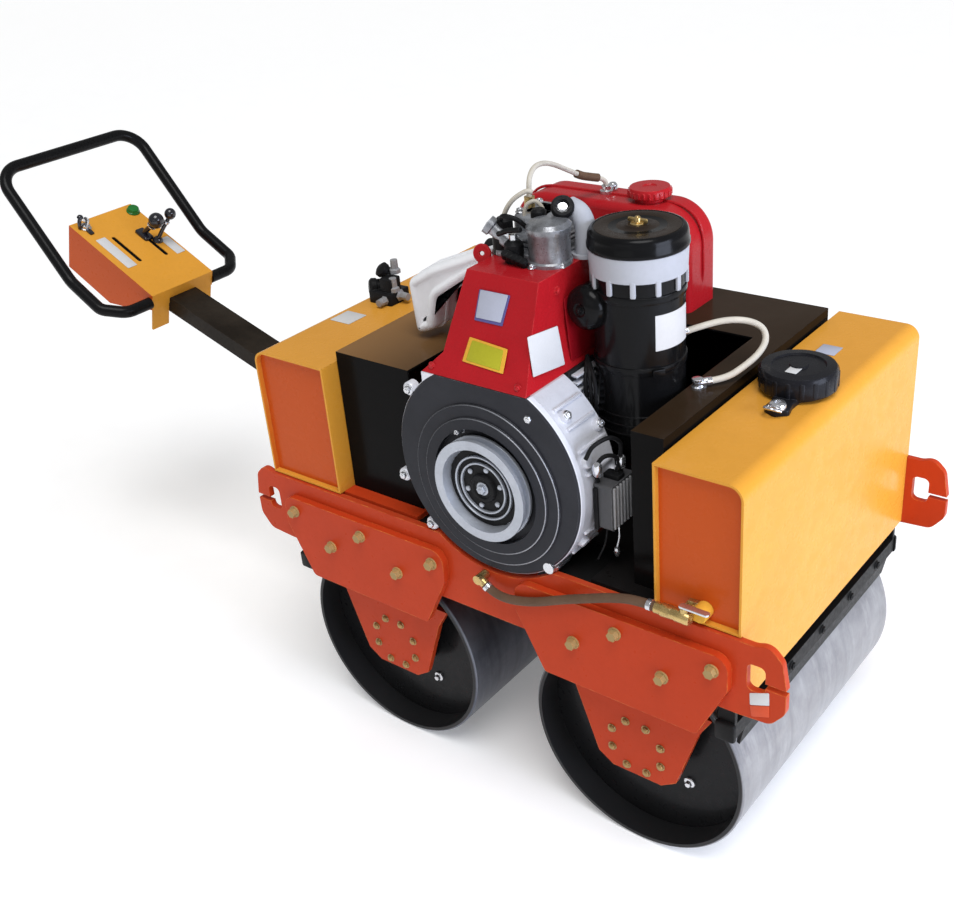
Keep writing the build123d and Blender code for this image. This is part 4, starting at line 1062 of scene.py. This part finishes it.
@piece("lid_brown")
def filter_lid_top(bm):
    turned(bm, (*FILTER, 1.11), UP, [
        (0, 0), (0.0695, 0), (0.069, 0.0012), (0.048, 0.0018), (0.046, 0.0006), (0.022, 0.001),
        (0.019, 0.0034), (0, 0.0036)], 72)


@piece("filter_white")
def filter_clips(bm):
    """The clips that hang from the white ring."""
    teeth(bm, (*FILTER, 1.031), 0.0742, 12, (0.009, 0.028, 0.0045, 0.003, 0.0015), radians(-95))


@piece("brass")
def filter_wing_nut(bm):
    """The wing nut on the cap."""
    stud(bm, (*FILTER, 1.113), UP, [
        (0.012, 0), (0.011, 0.002), (0.006, 0.003), (0.0055, 0.009), (0.003, 0.012)], 16)
    for side in (-1, 1):
        block(bm, (FILTER[0] + side * 0.011, FILTER[1] + 0.0012, 1.118), RIGHT,
              0.014, 0.008, 0.0024, 0.003, 0.0008)


@piece("white_plate")
def filter_label(bm):
    """A blank label bent round the filter's body."""
    columns = 12
    section = ((0.075, 0.925), (0.075, 0.985), (0.0736, 0.985), (0.0736, 0.925))
    rings = []
    for column in range(columns + 1):
        angle = radians(-39 + 59 * column / columns)
        way = Vector((cos(angle), sin(angle), 0))
        rings.append([bm.verts.new(at(*FILTER, height) + way * radius) for radius, height in section])
    for before, after in zip(rings, rings[1:]):
        join(bm, before, after)
    bm.faces.new(rings[0])
    bm.faces.new(rings[-1][::-1])


# Fuel tank
@piece("engine_red")
def fuel_tank_seam(bm):
    """The welded seam round the tank's middle."""
    low, high = 0.8455, 1.0352
    outline = rounded([(-0.2555, low), (0.1385, low), (0.1385, high), (-0.2555, high)], 0.075, 10)
    centre = Vector((-0.0585, 0.94))
    swollen = [centre + (point - centre) * 1.004 for point in outline]
    ring = [at(point.x, FUEL_Y, point.y) for point in swollen]
    tube(bm, ring + [ring[0]], 0.0028, 8)


@piece("engine_red", replaced=("fuel_cap",))
def fuel_tank_cap(bm):
    stud(bm, (0.028, FUEL_Y, FUEL_TOP), UP, [
        (0.029, 0, 0.007), (0.038, 0.008), (0.04, 0.01, 0.021), (0.037, 0.0255), (0.014, 0.0255),
        (0.012, 0.0235)], 48)
    teeth(bm, (0.028, FUEL_Y, FUEL_TOP + 0.0155), 0.0392, 24, (0.004, 0.011, 0.0022, 0.001, 0.0008))


@piece("engine_dark")
def fuel_tank_feet(bm):
    for x in (-0.15, 0.06):
        block(bm, (x, 0.15, 0.862), RIGHT, 0.026, 0.034, 0.003, 0.002, 0.001)
        bolt(bm, at(x, 0.147, 0.8624), RIGHT, 0.0055, 0.004, 0.001)


# Water tank
CAP_PLACE = (0.426, 0, TANK_TOP + LIFT)


@piece("cap_black", replaced=("tank_cap",))
def tank_lid(bm):
    stud(bm, CAP_PLACE, UP, [
        (0.052, 0, 0.005), (0.062, 0.006), (0.0638, 0.009, 0.037), (0.06, 0.0425), (0.044, 0.044),
        (0.042, 0.041), (0.016, 0.041), (0.014, 0.044)], 72)
    teeth(bm, (*CAP_PLACE[:2], CAP_PLACE[2] + 0.0225), 0.0622, 18, (0.008, 0.028, 0.0026, 0.003, 0.0012))
    neck = [(0.03, -0.024), (0.075, -0.018), (0.1, -0.021), (0.113, 0), (0.1, 0.021), (0.075, 0.018),
            (0.03, 0.024)]
    hasp = placing(at(*CAP_PLACE), UP) @ Matrix.Rotation(radians(6), 4, "Z")
    pillow(bm, hasp @ Matrix.Translation((0, 0, 0.0005)), rounded(neck, 0.008, 4), 0.01, 0.003, 3)


@piece("switch_chrome")
def tank_lid_lock(bm):
    stud(bm, (0.437, -0.096, TANK_TOP + 0.0105), UP,
         [(0.014, 0, 0.006), (0.012, 0.009), (0.006, 0.01, 0.007)], 28)
    cable(bm, 0.0026, 8, (0.424, -0.1, 0.837), (0.424, -0.116, 0.841), (0.438, -0.12, 0.843),
          (0.45, -0.11, 0.837), steps=5)


def on_beam(x, z):
    """A place on the right beam's outer face."""
    return at(x, -BEAM_FACE, z)


ear_label = corners_on(on_beam, (0.523, 0.446), (0.5555, 0.459), (0.5545, 0.483), (0.522, 0.469))
ear_label_foot = corners_on(on_beam, (0.526, 0.4245), (0.556, 0.436), (0.5555, 0.458), (0.523, 0.445))
sign("tank_lid_label", "white_plate", lying(0.417, 0.437, -0.034, -0.01, TANK_TOP + 0.0418), 0.0002)
sign("tank_top_label", "pale_plate", lying(0.388, 0.424, 0.142, 0.18, TANK_TOP), LIFT)
sign("ear_label", "white_plate", ear_label, LIFT)
sign("ear_label_foot", "orange_tag", ear_label_foot, LIFT)


# Water valve and hose fittings
@piece("brass")
def water_valve(bm):
    """The brass ball valve on the water tank and the hose's nuts."""
    turned(bm, (0.418, -TANK_SIDE, VALVE_Z), RIGHT, [(0.017, 0, 0.008), (0.012, 0.01, 0.02)], 6)
    stud(bm, (0.428, VALVE_Y, VALVE_Z), BACK, [
        (0, 0), (0.01, 0), (0.0115, 0.002, 0.024), (0.0108, 0.026, 0.038), (0.0112, 0.04, 0.05),
        (0.0095, 0.052, 0.06)], 24)
    stud(bm, (0.394, VALVE_Y, VALVE_Z), BACK, [(0, 0), (0.0112, 0, 0.011)], 6)
    stud(bm, (0.416, VALVE_Y, VALVE_Z + 0.009), UP, [(0.007, 0, 0.008), (0.005, 0.01)], 16)


@piece("orange_plate")
def water_stub(bm):
    stud(bm, (0.436, -TANK_SIDE, 0.586), RIGHT, [(0.014, 0, 0.022), (0.012, 0.024)], 24)


@piece("switch_chrome")
def water_valve_lever(bm):
    brick(bm, placing(at(0.434, VALVE_Y, 0.6), UP), 0.012, 0.052, 0.0035, 0.005, 0.001, 4)


@piece("switch_chrome")
def hose_clamps(bm):
    turned(bm, (0.36, VALVE_Y, VALVE_Z), BACK, [(0.0078, 0), (0.0098, 0.0006, 0.0084), (0.0078, 0.009)], 28)
    turned(bm, (0.0208, -0.353, 0.4984), (0.8, 0, -0.6),
           [(0.0078, 0), (0.0096, 0.0006, 0.0074), (0.0078, 0.008)], 28)
    turned(bm, (0.2545, -0.069, 0.918), (0.65, 0.75, 0.12),
           [(0.0052, 0), (0.0068, 0.0005, 0.0065), (0.0052, 0.007)], 24)


@piece("switch_chrome")
def hood_fitting(bm):
    """The fitting on the hood where the breather hose ends."""
    turned(bm, (0.304, -0.113, HOOD_TOP), UP, [
        (0.01, 0, 0.004), (0.007, 0.006, 0.012), (0.009, 0.014, 0.018), (0, 0.019)])
    stud(bm, (0.3175, -0.0968, 0.855), (-0.65, -0.75, 0),
         [(0.0068, 0), (0.0072, 0.003, 0.01), (0.0062, 0.012, 0.018)], 18)


# Rear valve
@piece("engine_dark", replaced=("rear_valve",))
def rear_valve_blocks(bm):
    block(bm, (-0.462, -0.012, TANK_TOP + LIFT), UP, 0.058, 0.06, 0.024, 0.004, 0.002)
    block(bm, (-0.452, -0.016, TANK_TOP + 0.0223), UP, 0.034, 0.03, 0.03, 0.005, 0.003)
    stud(bm, (-0.484, -0.006, 0.848), (-0.6, -0.7, 0.1),
         [(0.016, 0, 0.012), (0.018, 0.014, 0.024), (0.013, 0.028)])
    stud(bm, (-0.472, 0.004, 0.872), (-0.3, -0.5, 0.6),
         [(0.014, 0, 0.012), (0.016, 0.014, 0.022), (0.01, 0.026)])


@piece("box_pale")
def rear_valve_fittings(bm):
    for x, y, z, way in ((-0.448, -0.032, 0.836, RIGHT), (-0.438, -0.012, 0.84, FORWARD),
                         (-0.44, -0.02, 0.85, UP), (-0.456, 0.006, 0.878, UP)):
        stud(bm, (x, y, z), way, [(0.012, 0, 0.008), (0.008, 0.01, 0.02), (0.006, 0.022)], 6)
        stud(bm, (x, y, z), way, [(0.0075, 0.02, 0.028)], 16)


sign("rear_box_label", "white_plate", lying(-0.499, -0.447, -0.15, -0.098, TANK_TOP), LIFT)

# Console and controls
TOP_REAR = at(-1.436, 0, 0.872)
TOP_FRONT = at(-1.158, 0, 0.737)
DOWN_TOP = (TOP_FRONT - TOP_REAR).normalized()
OFF_TOP = Vector((-DOWN_TOP.z, 0, DOWN_TOP.x))


def on_top(along, y, height=LIFT):
    """A place over the console's sloping top."""
    return TOP_REAR + DOWN_TOP * along + OFF_TOP * height + Vector((0, y, 0))


def strip(name, start, end, low, high):
    """A pale strip on the console's top."""
    corners = [on_top(start, low), on_top(end, low), on_top(end, high), on_top(start, high)]
    sign(name, "white_plate", corners, 0.0001, body="handle_arm")


strip("console_strip_right", 0.078, 0.2, -0.075, -0.048)
strip("console_strip_left", 0.148, 0.215, 0.063, 0.088)


# Painted shade: near-black sheets for the shade inside the console's slots.
@piece("painted_shade_gap", "handle_arm")
def console_slots(bm):
    for start, end, y in ((0.086, 0.193, -0.031), (0.104, 0.205, 0.04)):
        place = placing(on_top((start + end) / 2, y, -0.006), OFF_TOP, DOWN_TOP)
        brick(bm, place, 0.0095, end - start - 0.001, 0.0045, 0.004, 0.0005, 4)


MAIN_LEVER = [on_top(0.116, 0.04, 0.006), on_top(0.13, 0.044, 0.032), on_top(0.142, 0.047, 0.052)]
SMALL_LEVER = [on_top(0.15, 0.056, 0.004), on_top(0.151, 0.068, 0.034), on_top(0.152, 0.082, 0.062)]
KEY = (0.028, -0.065)


@piece("lever_black", body="handle_arm", replaced=("levers",))
def lever_knobs(bm):
    """Two lever boots, their stems and knobs."""
    boot = placing(on_top(0.118, 0.04), OFF_TOP, DOWN_TOP)
    pillow(bm, boot, rounded(rectangle(0.026, 0.044), 0.006, 4), 0.008, 0.004, 3)
    tube(bm, MAIN_LEVER, 0.0065, 14)
    for centre, radius in ((on_top(0.145, 0.048, 0.06), 0.019), (on_top(0.152, 0.084, 0.072), 0.014)):
        rings = [(radius * sin(pi * step / 14), -radius * 1.05 * cos(pi * step / 14)) for step in range(15)]
        lathe(bm, placing(centre, OFF_TOP), rings, 32)
    tube(bm, SMALL_LEVER, 0.005, 12)
    lathe(bm, placing(on_top(0.15, 0.056), OFF_TOP), [
        (0.013, 0), (0.012, 0.004), (0.007, 0.009), (0, 0.009)], 20)


@piece("switch_chrome", body="handle_arm")
def lever_collars(bm):
    lathe(bm, placing(on_top(0.134, 0.045, 0.038), MAIN_LEVER[-1] - MAIN_LEVER[0]),
          [(0.0068, 0), (0.012, 0.001, 0.004), (0.0068, 0.005)], 20)
    lathe(bm, placing(on_top(0.1515, 0.074, 0.046), SMALL_LEVER[-1] - SMALL_LEVER[0]),
          [(0.005, 0), (0.008, 0.001, 0.006), (0.005, 0.007)], 18)


@piece("button_green", body="handle_arm", replaced=("start_button",))
def start_push_button(bm):
    lathe(bm, placing(on_top(0.029, 0.078), OFF_TOP), [
        (0.0165, 0, 0.003), (0.0145, 0.004, 0.008), (0.013, 0.0118), (0.008, 0.0135), (0, 0.014)], 36)


@piece("switch_chrome", body="handle_arm", replaced=("key_switch",))
def key_and_bow(bm):
    lathe(bm, placing(on_top(*KEY), OFF_TOP), [
        (0.0135, 0, 0.003), (0.0105, 0.004, 0.01), (0.0085, 0.012), (0, 0.012)], 32)
    bow = placing(on_top(*KEY, 0.021), (0.2, -1, 0.1), OFF_TOP)
    brick(bm, bow @ Matrix.Translation((0, 0, -0.0012)), 0.018, 0.02, 0.0024, 0.007, 0.0006, 5)


@piece("lever_black", body="handle_arm")
def key_guard(bm):
    """The dark lever beside the key."""
    stem = [on_top(0.024, -0.078, 0.002), on_top(0.022, -0.08, 0.018), on_top(0.018, -0.076, 0.026)]
    tube(bm, smooth(stem, 5), 0.005, 12)
    lathe(bm, placing(on_top(0.016, -0.074, 0.028), OFF_TOP),
          [(0, -0.007), (0.006, -0.004), (0.008, 0), (0.006, 0.004), (0, 0.007)], 18)
    brick(bm, placing(on_top(0.046, -0.066), OFF_TOP, DOWN_TOP), 0.012, 0.02, 0.004, 0.003, 0.001)


@piece("plated", "handle_arm")
def console_bolts(bm):
    for side in (-1, 1):
        bolt(bm, at(-1.211, side * 0.0405, 0.673), (0, side, 0), 0.0065, 0.005, 0.0012)


@piece("plated")
def hinge_bolts(bm):
    for side in (-1, 1):
        for x, z, *sizes in ((-0.575, 0.501, 0.015, 0.011, 0.003), (-0.6015, 0.4835, 0.0075, 0.006, 0.0015),
                             (-0.5385, 0.47, 0.007, 0.005, 0.0015), (-0.5385, 0.524, 0.007, 0.005, 0.0015)):
            bolt(bm, at(x, side * HINGE_SIDE, z), (0, side, 0), *sizes)


# Frame details
@piece("scraper_black")
def scraper_ends(bm):
    for end in (-1, 1):
        for side in (-1, 1):
            block(bm, (end * SCRAPER_END[0], side * SCRAPER_END[1], SCRAPER_Z), (0, side, 0), 0.036, 0.036,
                  0.008, 0.006, 0.003)


@piece("scraper_black")
def scraper_bolts(bm):
    for end in (-1, 1):
        for y in (-0.24, -0.12, 0, 0.12, 0.24):
            bolt(bm, at(end * SCRAPER_FACE, y, SCRAPER_Z), (end, 0, 0), 0.007, 0.004, 0.0012)


@piece("scraper_black")
def fan_tray(bm):
    """Dark plates that close the deck's notch in front of and behind the fan."""
    for end in (-1, 1):
        block(bm, (FAN_MIDDLE[0] + end * 0.148, -0.2425, DECK_TOP), UP, 0.14, 0.108, 0.003)


@piece("frame_paint")
def weld_beads(bm):
    """Welds where the aprons and the drawbar's lugs meet what carries them."""
    for side in (-1, 1):
        for end, x in ((1, 0.4915), (-1, -0.5175)):
            line = [at(x - end * 0.0005 + 0.0004 * (step % 2), side * 0.3232, 0.428 + 0.004 * step)
                    for step in range(31)]
            tube(bm, line, 0.003, 8)
        for edge in (0.0445, 0.0575):
            line = [at(-0.5285 - 0.0004 * (step % 2), side * edge,
                       0.464 + 0.004 * step) for step in range(19)]
            tube(bm, line, 0.0024, 8)


# Studio
def area_light(name, place, target, size, power, colour=(1, 1, 1)):
    data = bpy.data.lights.new(name, "AREA")
    data.shape = "RECTANGLE"
    data.size, data.size_y = size
    data.energy = power
    data.color = colour
    added(name, data).matrix_world = placing(place, Vector(place) - Vector(target))


def studio():
    """A pale floor, light from above all round, and a soft box in front."""
    mesh = bpy.data.meshes.new("studio_floor")
    reach = 14
    corners = [(-reach, -reach, 0), (reach, -reach, 0), (reach, reach, 0), (-reach, reach, 0)]
    mesh.from_pydata(corners, [], [(0, 1, 2, 3)])
    floor = added("studio_floor", mesh)
    floor.location.z = -0.0005
    coating("studio_floor", grey(0.94), 0.99, 0.6, 0.6, 0.05, grain=60, bump=0.01, soft=0.001)
    mesh.materials.append(materials["studio_floor"])
    glow = mesh.materials[0].node_tree.nodes["Principled BSDF"]
    glow.inputs["Emission Color"].default_value = (1, 1, 1, 1)
    glow.inputs["Emission Strength"].default_value = 0.18
    middle = (0.35, 0, 0.5)
    area_light("front_softbox", (4.4, -0.2, 1.5), middle, (2.4, 1.8), 100, (0.9, 1, 1.25))
    area_light("side_softbox", (0.6, -4.4, 2.2), middle, (3.2, 1.6), 6)
    data = bpy.data.lights.new("overhead", "SUN")
    data.energy = 1.9
    data.angle = radians(35)
    added("overhead", data).matrix_world = placing((0.9, -0.9, 3), (0.3, -0.3, 1))
    world = bpy.data.worlds.new("studio_world")
    world.use_nodes = True
    backdrop = world.node_tree.nodes["Background"]
    backdrop.inputs["Color"].default_value = (0.98, 0.99, 1, 1)
    backdrop.inputs["Strength"].default_value = 0.35
    bpy.context.scene.world = world
    bpy.context.scene.view_settings.view_transform = "Standard"


studio()
